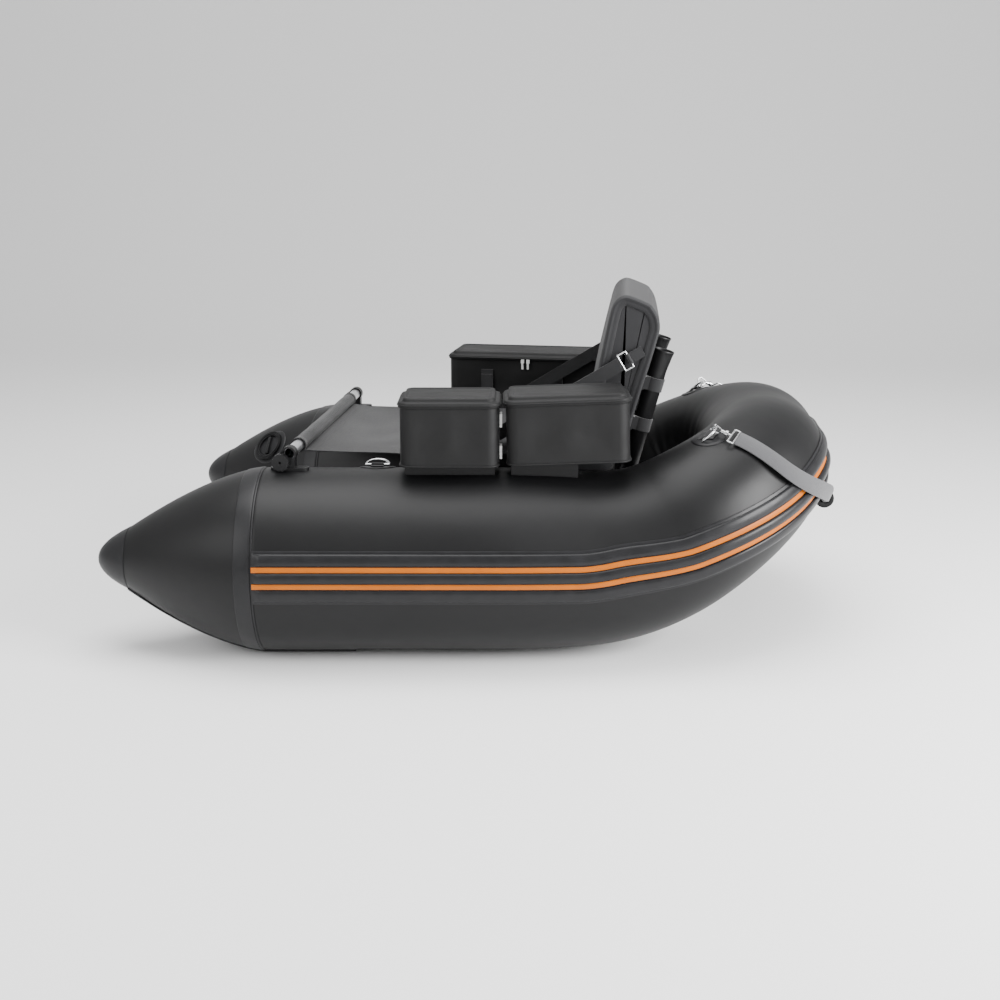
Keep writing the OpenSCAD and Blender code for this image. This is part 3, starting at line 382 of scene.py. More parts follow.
# The strips are the same PVC with a flat orange pigment, a little chalky on top.
orange, shader = finish_of("extruded_orange_pvc", "#a85600", 0.5)
place = node(orange, "ShaderNodeTexCoord")
chalk = node(orange, "ShaderNodeTexNoise", {"Vector": place.outputs["Object"]}, Scale=28, Detail=6)
tone = node(orange, "ShaderNodeValToRGB", {"Fac": chalk.outputs["Fac"]})
tone.color_ramp.elements[0].color = paint("#9c4e00")
tone.color_ramp.elements[1].color = paint("#b46000")
link = orange.node_tree.links.new
link(tone.outputs["Color"], shader.inputs["Base Color"])
gloss = node(orange, "ShaderNodeMapRange", {"Value": chalk.outputs["Fac"]}, To_Min=0.34, To_Max=0.5)
link(gloss.outputs["Result"], shader.inputs["Roughness"])

strake_half = 0.057
stripe_mid = 0.0175
stripe_half = 0.0055


def strake_q(s):
    return 4.5 - 30 * eased((s - straight - 0.075) / 0.372)


def on_strake(s, w, h):
    """Point on the strake: w up from its middle, h above the skin. Past the stern's middle s
    runs on along the starboard side."""
    side = 1 if s <= path_end else -1
    s = s if side > 0 else 2 * path_end - s
    lift = eased((s - 0.003) / 0.018)
    if h > 0.0026:
        h = 0.0026 + (h - 0.0026) * lift
    point = on_hull(s, strake_q(s) + math.degrees(w / tube_radius(s)), h)
    point.y *= side
    return point


def rib(middle, half, top):
    """A rounded rib of the extrusion."""
    return [(middle + half * math.cos(math.radians(a)), 0.0025 + (top - 0.0025) * math.sin(math.radians(a)) ** 0.55)
            for a in (180, 168, 152, 132, 110, 90, 70, 48, 28, 12, 0)]


over = ([(-strake_half, 0.0005), (-strake_half, 0.0018), (-strake_half + 0.002, 0.0025)]
        + rib(-0.0375, 0.0128, 0.0088) + rib(0, 0.0112, 0.0105) + rib(0.0375, 0.0128, 0.0088)
        + [(strake_half - 0.002, 0.0025), (strake_half, 0.0018), (strake_half, 0.0005)])
port_run = [0.003, 0.006, 0.010, 0.014, 0.018, 0.022] + run(0.04, path_end, 130)
whole_run = port_run + [2 * path_end - s for s in port_run[-2::-1]]
piece(swept(whole_run, over, on_strake), "strake_moulding", extruded, stands_for=["rub_strake"], crease=50)
stripe_run = run(0.0035, bend_end + 0.289, 120)
for side, name in ((1, "upper"), (-1, "lower")):
    mid = side * stripe_mid
    face = [(mid - stripe_half, 0.0026), (mid - stripe_half, 0.0034), (mid - stripe_half * 0.7, 0.0038),
            (mid, 0.0040), (mid + stripe_half * 0.7, 0.0038), (mid + stripe_half, 0.0034), (mid + stripe_half, 0.0026)]
    strip = swept(stripe_run, face, lambda s, w, h: on_hull(s, strake_q(s) + math.degrees(w / tube_radius(s)), h))
    piece(mirrored(strip), f"starboard_{name}_stripe", orange, stands_for=["strake_stripes"])
    piece(strip, f"port_{name}_stripe", orange, stands_for=["strake_stripes"])

# ---- Keel strips --------------------------------------------------------------------------------
# A second layer of thick PVC under each bow, where the boat is dragged ashore, with its ends
# cut square and its edges rolled down by the welding wheel.


def under_bow(s, w, h):
    return on_hull(s, -90 + math.degrees(w / max(tube_radius(s), 0.09)), h)


keel = swept(run(-0.298, 0.197, 60), soft_band(-0.059, 0.059, 0.0048, 0.004), under_bow)
piece(mirrored(keel), "starboard_keel_strip", extruded, stands_for=["keel_strips"])
piece(keel, "port_keel_strip", extruded, stands_for=["keel_strips"])

# ---- Patches and D-rings --------------------------------------------------------------------------
# Oval PVC patches welded to the skin, a short loop of nylon webbing stitched to each, and
# D-rings of 5 mm plated steel wire in the loops.
plated, shader = finish_of("nickel_plated_steel", "#c9cacb", 0.2, metallic=1.0)
place = node(plated, "ShaderNodeTexCoord")
rub = node(plated, "ShaderNodeTexNoise", {"Vector": place.outputs["Object"]}, Scale=900, Detail=3)
gloss = node(plated, "ShaderNodeMapRange", {"Value": rub.outputs["Fac"]}, To_Min=0.12, To_Max=0.34)
plated.node_tree.links.new(gloss.outputs["Result"], shader.inputs["Roughness"])

# Polyamide webbing, 1.2 mm ribs across it, a dull sheen and a little fading.
webbing, shader = finish_of("woven_nylon_webbing", "#1b1b1c", 0.8, sheen=0.25)


def ribbed(mat, shader, dark, light, pitch):
    """Ribs across a strap from its UV map, with colour that fades from rib to rib."""
    link = mat.node_tree.links.new
    place = node(mat, "ShaderNodeTexCoord")
    ribs = node(mat, "ShaderNodeTexWave", {"Vector": place.outputs["UV"]}, bands_direction="X",
                Scale=math.pi / 10 / pitch, Distortion=0.6, Detail=1.0)
    yarn = node(mat, "ShaderNodeTexWave", {"Vector": place.outputs["UV"]}, bands_direction="Y",
                Scale=math.pi / 10 / (pitch * 1.4), Distortion=0.4)
    both = node(mat, "ShaderNodeMath", {0: ribs.outputs["Fac"], 1: yarn.outputs["Fac"]}, operation="MULTIPLY")
    tone = node(mat, "ShaderNodeValToRGB", {"Fac": both.outputs["Value"]})
    tone.color_ramp.elements[0].color = paint(dark)
    tone.color_ramp.elements[1].color = paint(light)
    relief = node(mat, "ShaderNodeBump", {"Height": both.outputs["Value"]}, Strength=0.5, Distance=0.0006)
    link(tone.outputs["Color"], shader.inputs["Base Color"])
    link(relief.outputs["Normal"], shader.inputs["Normal"])


ribbed(webbing, shader, "#0d0d0e", "#29292b", 0.0016)


def clad(mat, *names):
    """Gives carried-over pieces their material."""
    for name in names:
        slots = frame["nodes"][name].data.materials
        slots.clear()
        slots.append(mat)


def skin_frame(s, q, s2, q2):
    """Frame on the skin, z outwards and x towards a second point."""
    at = on_hull(s, q)
    out = (on_hull(s, q, 0.001) - at).normalized()
    way = on_hull(s2, q2) - at
    way = (way - way.dot(out) * out).normalized()
    side = out.cross(way)
    return Matrix.Translation(at) @ Matrix((way, side, out)).transposed().to_4x4()


def oval(s, q, half_s, half_w):
    rim = [(0.0, 0.0027), (0.45, 0.0027), (0.84, 0.0026), (0.93, 0.0023), (0.98, 0.0016), (1.0, 0.0007), (1.0, -0.001)]
    return swept(run(0, 360, 48), rim, lambda t, part, h: on_hull(
        s + half_s * part * math.cos(math.radians(t)),
        q + math.degrees(half_w * part * math.sin(math.radians(t)) / tube_radius(s)), h), caps=False, closed=False)


def wire_loop(m, wide, wire=0.0026, z=0.0065):
    """Webbing laid over a wire, with its two tails flat on the patch."""
    arc = [(z_r * math.cos(math.radians(a)), z + z_r * math.sin(math.radians(a)))
           for z_r, a in [(wire + 0.0017, a) for a in range(200, -21, -20)]]
    back = [((wire + 0.0002) * math.cos(math.radians(a)), z + (wire + 0.0002) * math.sin(math.radians(a)))
            for a in range(-20, 201, 20)]
    outline = [(-0.019, 0.0028), (-0.019, 0.0044), (-0.008, 0.0046)] + arc + [(0.008, 0.0046), (0.019, 0.0044), (0.019, 0.0028)] + back
    return swept([-wide / 2, wide / 2], outline, lambda y, a, b: m @ Vector((a, y, b)))


bow_ring = skin_frame(0.247, 100, 0.247, 130)
stern_ring = skin_frame(1.056, 72, 1.076, 40)
for place_name, patch, loop in (("bow", oval(0.247, 100, 0.040, 0.026), wire_loop(bow_ring, 0.028)),
                                ("stern", oval(1.056, 72, 0.030, 0.042), wire_loop(stern_ring, 0.028))):
    piece(mirrored(patch), f"starboard_{place_name}_patch", calendered, stands_for=["ring_patches"])
    piece(patch, f"port_{place_name}_patch", calendered, stands_for=["ring_patches"])
    piece(mirrored(loop), f"starboard_{place_name}_loop", webbing, stands_for=["ring_patches"])
    piece(loop, f"port_{place_name}_loop", webbing, stands_for=["ring_patches"])
clad(plated, "port_bow_ring", "starboard_bow_ring", "stern_rings")

# ---- Valves -------------------------------------------------------------------------------------------
# Push-type air valves moulded in nylon, welded into the inboard side of each cone: a knurled
# clamping ring, a stepped seat and a screw cap with a bar to turn it by.
moulded, shader = finish_of("moulded_black_nylon", "#121213", 0.42)
place = node(moulded, "ShaderNodeTexCoord")
spark = node(moulded, "ShaderNodeTexNoise", {"Vector": place.outputs["Object"]}, Scale=1400, Detail=2)
handled = node(moulded, "ShaderNodeTexNoise", {"Vector": place.outputs["Object"]}, Scale=45, Detail=5)
gloss = node(moulded, "ShaderNodeMapRange", {"Value": handled.outputs["Fac"]}, To_Min=0.3, To_Max=0.55)
grain = node(moulded, "ShaderNodeBump", {"Height": spark.outputs["Fac"]}, Strength=0.25, Distance=0.0002)
moulded.node_tree.links.new(gloss.outputs["Result"], shader.inputs["Roughness"])
moulded.node_tree.links.new(grain.outputs["Normal"], shader.inputs["Normal"])
tube_frame = Matrix.Translation(cone_base) @ Matrix.Rotation(toe, 4, "Z")
valve_frame = (tube_frame @ Matrix.Rotation(math.radians(46), 4, "X")
               @ Matrix.Translation((0.150, 0, 0.1530)) @ Matrix.Rotation(math.radians(24), 4, "Y"))


def turned(outline, m, steps=64, into=None):
    """A piece turned about the frame's z from an outline of (radius, height) points."""
    bm = bmesh.new()
    dots = [bm.verts.new((r, 0, z)) for r, z in outline]
    edges = [bm.edges.new(pair) for pair in zip(dots, dots[1:])]
    bmesh.ops.spin(bm, geom=dots + edges, cent=(0, 0, 0), axis=(0, 0, 1), angle=2 * math.pi, steps=steps,
                   use_merge=True)
    bmesh.ops.remove_doubles(bm, verts=bm.verts, dist=1e-6)
    bmesh.ops.dissolve_degenerate(bm, edges=bm.edges, dist=1e-7)
    bmesh.ops.recalc_face_normals(bm, faces=bm.faces)
    bmesh.ops.transform(bm, matrix=m, verts=bm.verts)
    return bm


def block(bm, m, size, bevel):
    """Adds a small moulded block with rounded edges to a mesh."""
    made = bmesh.ops.create_cube(bm, size=1, matrix=m @ Matrix.Diagonal((*size, 1)))["verts"]
    edges = list({e for v in made for e in v.link_edges})
    bmesh.ops.bevel(bm, geom=edges, offset=bevel, affect="EDGES", segments=2, profile=0.5, material=-1)


ring_outline = [(0.0303, -0.0045), (0.0303, 0.0040), (0.0310, 0.0056), (0.0330, 0.0062), (0.0336, 0.0052),
                (0.0342, 0.0052), (0.0348, 0.0078), (0.0360, 0.0081), (0.0372, 0.0078), (0.0378, 0.0060),
                (0.0384, 0.0060), (0.0392, 0.0072), (0.0404, 0.0070), (0.0409, 0.0058), (0.0410, -0.0060)]
clamp = turned(ring_outline, valve_frame, 96)
for k in range(44):
    block(clamp, valve_frame @ Matrix.Rotation(2 * math.pi * k / 44, 4, "Z") @ Matrix.Translation((0.0412, 0, 0.0005)),
          (0.0018, 0.0030, 0.0120), 0.0005)
cap = turned([(0.0296, -0.0055), (0.0296, -0.0012), (0.0288, 0.0006), (0.0268, 0.0013), (0.0252, 0.0010),
              (0.0246, -0.0006), (0.0225, -0.0012), (0.0120, -0.0016), (0.0, -0.0016)], valve_frame, 64)
block(cap, valve_frame @ Matrix.Translation((0, 0, 0.0030)), (0.0100, 0.0520, 0.0100), 0.0024)
flange = oval(-0.150, 136, 0.049, 0.049)
for bm, part, body, node_names in ((clamp, "valve_ring", "hull", ["valve_body"]), (flange, "valve_flange", "hull", []),
                                   (cap, "valve_cap_top", None, ["valve_cap"])):
    for side, mesh in (("starboard", mirrored(bm)), ("port", bm)):
        piece(mesh, f"{side}_{part}", moulded if part != "valve_flange" else calendered,
              body or f"{side}_valve_cap", [f"{side}_{n}" for n in node_names], crease=40)
grey_core = finish_of("moulded_grey_acetal", "#6e6f70", 0.4)
spark = node(grey_core[0], "ShaderNodeTexNoise", Scale=900)
grain = node(grey_core[0], "ShaderNodeBump", {"Height": spark.outputs["Fac"]}, Strength=0.2, Distance=0.0002)
grey_core[0].node_tree.links.new(grain.outputs["Normal"], grey_core[1].inputs["Normal"])
clad(grey_core[0], "port_valve_plunger", "starboard_valve_plunger")
clad(plated, "port_valve_spring", "starboard_valve_spring")

# ---- Front bar ------------------------------------------------------------------------------------------
# A 25 mm anodised aluminium tube across the bow, in two moulded feet on the tubes. A star
# knob screws in beside each foot.
anodised, shader = finish_of("anodised_aluminium_tube", "#d3d4d6", 0.3, metallic=1.0)
place = node(anodised, "ShaderNodeTexCoord")
drawn = node(anodised, "ShaderNodeMapping", {"Vector": place.outputs["Object"]}, Scale=(900, 14, 900))
lines = node(anodised, "ShaderNodeTexNoise", {"Vector": drawn.outputs["Vector"]}, Scale=1, Detail=4)
gloss = node(anodised, "ShaderNodeMapRange", {"Value": lines.outputs["Fac"]}, To_Min=0.22, To_Max=0.42)
grain = node(anodised, "ShaderNodeBump", {"Height": lines.outputs["Fac"]}, Strength=0.1, Distance=0.0001)
anodised.node_tree.links.new(gloss.outputs["Result"], shader.inputs["Roughness"])
anodised.node_tree.links.new(grain.outputs["Normal"], shader.inputs["Normal"])
clad(anodised, "front_bar")
clad(moulded, "bar_brackets", "port_bar_knob", "starboard_bar_knob")

# ---- Apron ----------------------------------------------------------------------------------------------
# A panel of coated polyester mesh, sleeved over the bar and laid back over the tubes, with
# welded seams beside the sleeve and a doubled hem all round.
open_mesh, shader = finish_of("coated_polyester_mesh", "#2b2b2c", 0.62, sheen=0.15)
place = node(open_mesh, "ShaderNodeTexCoord")
across = node(open_mesh, "ShaderNodeTexWave", {"Vector": place.outputs["Object"]}, bands_direction="X", Scale=105)
along = node(open_mesh, "ShaderNodeTexWave", {"Vector": place.outputs["Object"]}, bands_direction="Y", Scale=105)
knot = node(open_mesh, "ShaderNodeMath", {0: across.outputs["Fac"], 1: along.outputs["Fac"]}, operation="MAXIMUM")
wear = node(open_mesh, "ShaderNodeTexNoise", {"Vector": place.outputs["Object"]}, Scale=14, Detail=5)
mixed = node(open_mesh, "ShaderNodeMath", {0: knot.outputs["Value"], 1: wear.outputs["Fac"]}, operation="MULTIPLY")
tone = node(open_mesh, "ShaderNodeValToRGB", {"Fac": mixed.outputs["Value"]})
tone.color_ramp.elements[0].color = paint("#0f0f10")
tone.color_ramp.elements[1].color = paint("#3a3a3b")
relief = node(open_mesh, "ShaderNodeBump", {"Height": knot.outputs["Value"]}, Strength=0.55, Distance=0.0008)
open_mesh.node_tree.links.new(tone.outputs["Color"], shader.inputs["Base Color"])
open_mesh.node_tree.links.new(relief.outputs["Normal"], shader.inputs["Normal"])
bar_x = 0.390418
bar_z = 0.441
apron_l = 0.230


def apron_half(a):
    """Half width of the panel, a behind the bar: it draws in along a curve."""
    return 0.288 - 0.048 * (a / apron_l) ** 0.8


def on_apron(t, a, b):
    y = t * apron_half(a)
    slack = 0.010 * math.sin(math.pi * min(a / apron_l, 1)) * (1 - t * t)
    ripple = 0.0012 * math.sin(9 * t + 30 * a) * (a / apron_l)
    return Vector((bar_x - 0.0120 - a, y, bar_z - 0.0135 - 0.062 * a - slack + ripple + b))


flat = [0.0, 0.004, 0.010, 0.018, 0.019, 0.026, 0.027] + run(0.035, apron_l - 0.016, 18) + [apron_l - 0.014, apron_l - 0.001, apron_l]


def seam_rise(a):
    """Doubled cloth at the sleeve's seam, at one weld line and at the hem."""
    return 0.0006 * (a < 0.0185) + 0.0004 * (0.0655 < a < 0.074) + 0.0007 * (a > apron_l - 0.015)


panel_side = [(a, 0.0011 + seam_rise(a)) for a in flat] + [(a, -0.0011) for a in reversed(flat)]
panel = swept(run(-1, 1, 60), panel_side, on_apron)
lap = piece(panel, "apron_panel", open_mesh, stands_for=["apron"])
sleeve_steps = ([-0.290, -0.289, -0.276, -0.275] + run(-0.27, 0.27, 60) + [0.275, 0.276, 0.289, 0.290])
sleeve_side = [(a, 0.0158 + (0.0006 if 250 < a < 300 else 0)) for a in range(0, 360, 10)]


def round_bar(y, a, r):
    r = r + (0.0009 if abs(y) > 0.2755 else 0.0003 * math.sin(60 * y + a / 40))
    return Vector((bar_x + r * math.cos(math.radians(a)), y, bar_z + r * math.sin(math.radians(a))))


sleeve = swept(sleeve_steps, sleeve_side, round_bar, caps=False)
bmesh.ops.solidify(sleeve, geom=sleeve.faces, thickness=0.0022)
wrap = piece(sleeve, "apron_sleeve", open_mesh, stands_for=["apron"])

# ---- Seat -----------------------------------------------------------------------------------------------
# A sling of the tube cloth welded between the tubes carries a foam cushion, sewn in coated
# oxford with a corded edge. The cushion's crown is shaped here, not simulated.
oxford, shader = finish_of("coated_oxford_cloth", "#1b1b1d", 0.66, sheen=0.08)
place = node(oxford, "ShaderNodeTexCoord")
warp = node(oxford, "ShaderNodeTexWave", {"Vector": place.outputs["Object"]}, bands_direction="DIAGONAL", Scale=260)
fade = node(oxford, "ShaderNodeTexNoise", {"Vector": place.outputs["Object"]}, Scale=11, Detail=6)
tone = node(oxford, "ShaderNodeValToRGB", {"Fac": fade.outputs["Fac"]})
tone.color_ramp.elements[0].color = paint("#161617")
tone.color_ramp.elements[1].color = paint("#242426")
folds = node(oxford, "ShaderNodeBump", {"Height": fade.outputs["Fac"]}, Strength=0.3, Distance=0.004)
grain = node(oxford, "ShaderNodeBump", {"Height": warp.outputs["Fac"], "Normal": folds.outputs["Normal"]},
             Strength=0.25, Distance=0.0004)
oxford.node_tree.links.new(tone.outputs["Color"], shader.inputs["Base Color"])
oxford.node_tree.links.new(grain.outputs["Normal"], shader.inputs["Normal"])
seat_aft = -0.3086
seat_l = 0.364
sling_z = 0.367


def between_tubes(x):
    """Half width between the tubes at the sling's height."""
    at = centre_line((cone_base.x - x) / math.cos(toe))[0]
    return at.y - math.sqrt(0.04 - (sling_z + 0.004 - at.z) ** 2) / math.cos(toe) - 0.0012


sling_side = [(seat_aft + a, 0.0038) for a in run(0, seat_l, 20)] + [(seat_aft + seat_l - a, 0.0014) for a in run(0, seat_l, 20)]
sling = piece(swept(run(-1, 1, 40), sling_side,
                    lambda t, x, z: Vector((x, t * between_tubes(x), sling_z + z - 0.001 * math.cos(t * math.pi / 2)))),
              "seat_sling_panel", coated_cloth, stands_for=["seat_sling"])
sling_w = between_tubes(seat_aft) + between_tubes(seat_aft + seat_l)


def round_rect(t, half_l, half_w, r):
    """Point on a rounded rectangle: each unit of t runs along one side and round its corner."""
    side, part = int(t) % 4, t % 1
    spots = [(half_l - r, half_w - r), (r - half_l, half_w - r), (r - half_l, r - half_w), (half_l - r, r - half_w)]
    a, b = spots[side - 1], spots[side]
    turn = math.radians(90 * side + 180 * max(part - 0.5, 0))
    along = min(part * 2, 1)
    return (a[0] + (b[0] - a[0]) * along + r * math.cos(turn), a[1] + (b[1] - a[1]) * along + r * math.sin(turn))


around = [side + part for side in range(4) for part in run(0, 0.5, 12)[:-1] + run(0.5, 1, 8)[:-1]] + [4.0]


def slab(half_l, half_w, r, levels, m, soft=None):
    """A body of rounded rectangles, from (inset, height) levels."""
    def at(t, inset, z):
        inset += soft(t, inset, z) if soft else 0
        x, y = round_rect(t % 4, half_l - inset, half_w - inset, max(r - inset, 0.002))
        return m @ Vector((x, y, z))
    return swept(around, levels, at, closed=False)


crown = ([(0.012, 0.0), (0.003, 0.001), (0.0005, 0.006), (0.0, 0.020), (0.0, 0.034), (-0.0016, 0.036), (-0.0022, 0.0385),
          (-0.0016, 0.041), (0.0002, 0.043), (0.0008, 0.055), (0.003, 0.063), (0.009, 0.069), (0.020, 0.0722)]
         + [(0.02 + a, 0.0722 + 0.003 * math.sin(a / 0.175 * math.pi / 2)) for a in run(0.02, 0.15, 10)])
cushion = slab(seat_l / 2 - 0.002, 0.198, 0.04, crown, Matrix.Translation((seat_aft + seat_l / 2, 0, 0.3713)),
               lambda t, inset, z: 0.0012 * math.sin(22 * t) * math.sin(math.pi * min(z / 0.07, 1)))
piece(cushion, "seat_pad", oxford, stands_for=["seat_cushion"])

# ---- Backrest --------------------------------------------------------------------------------------------
# A drop-stitch air cushion in the same oxford, with a fat rounded shoulder at the top and an
# end panel let in behind a corded seam. It folds forward on the cushion's rear edge.
lean = Matrix.Translation((-0.236582, 0, 0.4469)) @ Matrix.Rotation(math.radians(-11), 4, "Y")
shoulder = [(-0.048 + 0.066 * math.cos(math.radians(a)), 0.268 + 0.066 * math.sin(math.radians(a))) for a in range(105, 190, 12)]
side_view = ([(-0.006, 0.002), (0.0, 0.010), (0.0, 0.060), (0.0, 0.130), (0.0, 0.200), (0.0, 0.270), (-0.001, 0.300),
              (-0.006, 0.318), (-0.018, 0.331), (-0.034, 0.335)] + shoulder[1:]
             + [(-0.110, 0.210), (-0.104, 0.150), (-0.099, 0.090), (-0.0955, 0.034), (-0.092, 0.024), (-0.060, 0.014)])
smooth_view = []
for k in range(len(side_view)):
    p0, p1, p2, p3 = (Vector(side_view[(k + j) % len(side_view)]) for j in (-1, 0, 1, 2))
    for u in (0.0, 0.34, 0.67):
        spot = 0.5 * (2 * p1 + (p2 - p0) * u + (2 * p0 - 5 * p1 + 4 * p2 - p3) * u ** 2 + (3 * p1 - p0 - 3 * p2 + p3) * u ** 3)
        smooth_view.append((spot.x, spot.y))
outward = {}
for k, spot in enumerate(smooth_view):
    tangent = Vector(smooth_view[(k + 1) % len(smooth_view)]) - Vector(smooth_view[k - 1])
    outward[spot] = Vector((tangent.y, -tangent.x)).normalized()
edge_steps = [(0.2165, 0.0225), (0.2185, 0.0215), (0.2200, 0.0185), (0.2205, 0.0140), (0.2203, 0.0105), (0.2212, 0.0090),
              (0.2220, 0.0070), (0.2217, 0.0048), (0.2202, 0.0036), (0.2190, 0.0030), (0.2150, 0.0008), (0.2080, 0.0)]
rows = [(-y, i) for y, i in edge_steps] + [(y, 0.0) for y in run(-0.195, 0.195, 30)] + [(y, i) for y, i in reversed(edge_steps)]
row_at = {float(k): row for k, row in enumerate(rows)}


def on_back(k, x, z):
    y, inset = row_at[k]
    swell = 0.006 * (1 - (y / 0.222) ** 2) * math.sin(math.pi * max(0, min(z / 0.33, 1)))
    spot = Vector((x, z)) + outward[(x, z)] * (swell * (x > -0.03) + 0.4 * swell * (x < -0.08) - inset)
    return lean @ Vector((spot.x, y, spot.y))


back = swept([float(k) for k in range(len(rows))], smooth_view, on_back)
piece(back, "backrest_cushion", oxford, "backrest", ["backrest"], crease=35)

# ---- Rod holders -----------------------------------------------------------------------------------------
# Two open ABS tubes with a flared mouth behind the backrest, each in two webbing sleeves.
woven, shader = finish_of("woven_strap_in_place", "#1a1a1b", 0.8, sheen=0.25)
place = node(woven, "ShaderNodeTexCoord")
ribs = node(woven, "ShaderNodeTexWave", {"Vector": place.outputs["Object"]}, bands_direction="Z", Scale=190)
tone = node(woven, "ShaderNodeValToRGB", {"Fac": ribs.outputs["Fac"]})
tone.color_ramp.elements[0].color = paint("#0e0e0f")
tone.color_ramp.elements[1].color = paint("#272729")
relief = node(woven, "ShaderNodeBump", {"Height": ribs.outputs["Fac"]}, Strength=0.5, Distance=0.0006)
woven.node_tree.links.new(tone.outputs["Color"], shader.inputs["Base Color"])
woven.node_tree.links.new(relief.outputs["Normal"], shader.inputs["Normal"])
for side, y in (("port", 0.118), ("starboard", -0.118)):
    rod = Matrix.Translation((-0.335207, y, 0.349936)) @ Matrix.Rotation(math.radians(-15.064), 4, "Y")
    tube = turned([(0.0181, 0.001), (0.0190, 0.0), (0.0200, 0.001), (0.0200, 0.254), (0.0206, 0.262), (0.0230, 0.286),
                   (0.0240, 0.294), (0.0249, 0.2965), (0.0250, 0.2985), (0.0242, 0.3000), (0.0232, 0.2995),
                   (0.0226, 0.2960), (0.0214, 0.286), (0.0187, 0.262), (0.0181, 0.254), (0.0181, 0.001)], rod)
    piece(tube, f"{side}_rod_tube", moulded, f"{side}_rod_holder" if f"{side}_rod_holder" in frame["bodies"] else "backrest",
          [f"{side}_rod_holder"])
clad(woven, "rod_holder_sleeves", "back_ring_tabs", "box_webbing")
clad(plated, "port_back_ring", "starboard_back_ring")

# ---- Backrest straps ---------------------------------------------------------------------------------------
# Nylon webbing from a steel ring on each end of the backrest down to a patch inside the tube,
# doubled back and stitched where it passes through the ring.
top = Vector((-0.3173, 0.2275, 0.6218))
anchor = on_hull(0.375, 127, 0.0162)
pull = anchor - top


def on_strap(t, a, b):
    along = pull.normalized()
    across = Vector((0, 1, 0)).cross(along).normalized()
    out = across.cross(along)
    if out.y < 0:
        out = -out
    sag = 0.003 * math.sin(math.pi * t) * math.sin(7 * t)
    doubled = 0.0011 * (t < 0.24) + 0.0008 * (t > 0.93)
    return top + pull * t + a * across + (b * (1 + doubled / 0.001) + sag) * out


flat_web = [(-0.015, -0.0009), (0.015, -0.0009), (0.015, 0.0009), (-0.015, 0.0009)]
strap = swept(run(0, 0.235, 8) + run(0.242, 0.925, 24) + run(0.932, 1, 4), flat_web, on_strap)
for side, bm in (("starboard", mirrored(strap)), ("port", strap)):
    flip = -1 if side == "starboard" else 1
    band = piece(bm, f"{side}_backrest_strap", webbing, None, stands_for=[f"{side}_back_strap"])
    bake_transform(band)
chape = swept([-0.017, 0.017], [(-0.014, 0.0026), (0.014, 0.0026), (0.015, 0.0135), (-0.013, 0.0150)],
              lambda y, a, b: skin_frame(0.375, 127, 0.335, 119) @ Vector((a, y, b)))
base = oval(0.375, 127, 0.020, 0.034)
for bm, name, mat in ((base, "strap_patch", calendered), (chape, "strap_chape", webbing)):
    piece(mirrored(bm), f"starboard_{name}", mat, stands_for=["strap_anchors"])
    piece(bm, f"port_{name}", mat, stands_for=["strap_anchors"])

# ---- Boxes ---------------------------------------------------------------------------------------------------
# Three tackle cases of 5 mm EVA foam, heat-pressed between black cloths: soft creases in the
# sides, a corded rim, a raised lid with a sunk panel, and zips with pale pulls.
eva_case, shader = finish_of("pressed_eva_case", "#0f0f10", 0.6)
place = node(eva_case, "ShaderNodeTexCoord")
knit = node(eva_case, "ShaderNodeTexNoise", {"Vector": place.outputs["Object"]}, Scale=420, Detail=3)
dents = node(eva_case, "ShaderNodeTexNoise", {"Vector": place.outputs["Object"]}, Scale=13, Detail=2)
tone = node(eva_case, "ShaderNodeValToRGB", {"Fac": dents.outputs["Fac"]})
tone.color_ramp.elements[0].color = paint("#090909")
tone.color_ramp.elements[1].color = paint("#121213")
soft_dents = node(eva_case, "ShaderNodeBump", {"Height": dents.outputs["Fac"]}, Strength=0.55, Distance=0.006)
grain = node(eva_case, "ShaderNodeBump", {"Height": knit.outputs["Fac"], "Normal": soft_dents.outputs["Normal"]},
             Strength=0.3, Distance=0.0004)
eva_case.node_tree.links.new(tone.outputs["Color"], shader.inputs["Base Color"])
eva_case.node_tree.links.new(grain.outputs["Normal"], shader.inputs["Normal"])
pale_plastic, shader = finish_of("pale_grey_acetal", "#cfcfce", 0.38)
place = node(pale_plastic, "ShaderNodeTexCoord")
speck = node(pale_plastic, "ShaderNodeTexNoise", {"Vector": place.outputs["Object"]}, Scale=700)
grain = node(pale_plastic, "ShaderNodeBump", {"Height": speck.outputs["Fac"]}, Strength=0.2, Distance=0.0002)
pale_plastic.node_tree.links.new(grain.outputs["Normal"], shader.inputs["Normal"])
case_side = [(0.012, 0.0), (-0.002, 0.0), (-0.003, 0.001), (-0.003, 0.003), (-0.002, 0.004), (0.0, 0.0045)] + [
    (0.0, z) for z in run(0.012, 0.120, 12)] + [(0.0, 0.126), (0.005, 0.126), (0.005, 0.006), (0.006, 0.005)]
lid_side = [(0.018, 0.0155), (0.0172, 0.0145), (0.0172, 0.0), (0.001, 0.0), (0.0, 0.001), (0.0, 0.0040), (-0.0012, 0.0047),
            (-0.0016, 0.0058), (-0.0012, 0.0070), (0.0002, 0.0076), (0.0006, 0.0095), (0.0022, 0.0112), (0.0060, 0.0120),
            (0.0094, 0.0128), (0.0106, 0.0150), (0.0116, 0.0180), (0.0136, 0.0196), (0.0165, 0.0200), (0.0200, 0.0197),
            (0.0216, 0.0188), (0.0230, 0.0185), (0.0330, 0.0186), (0.0500, 0.0188)]


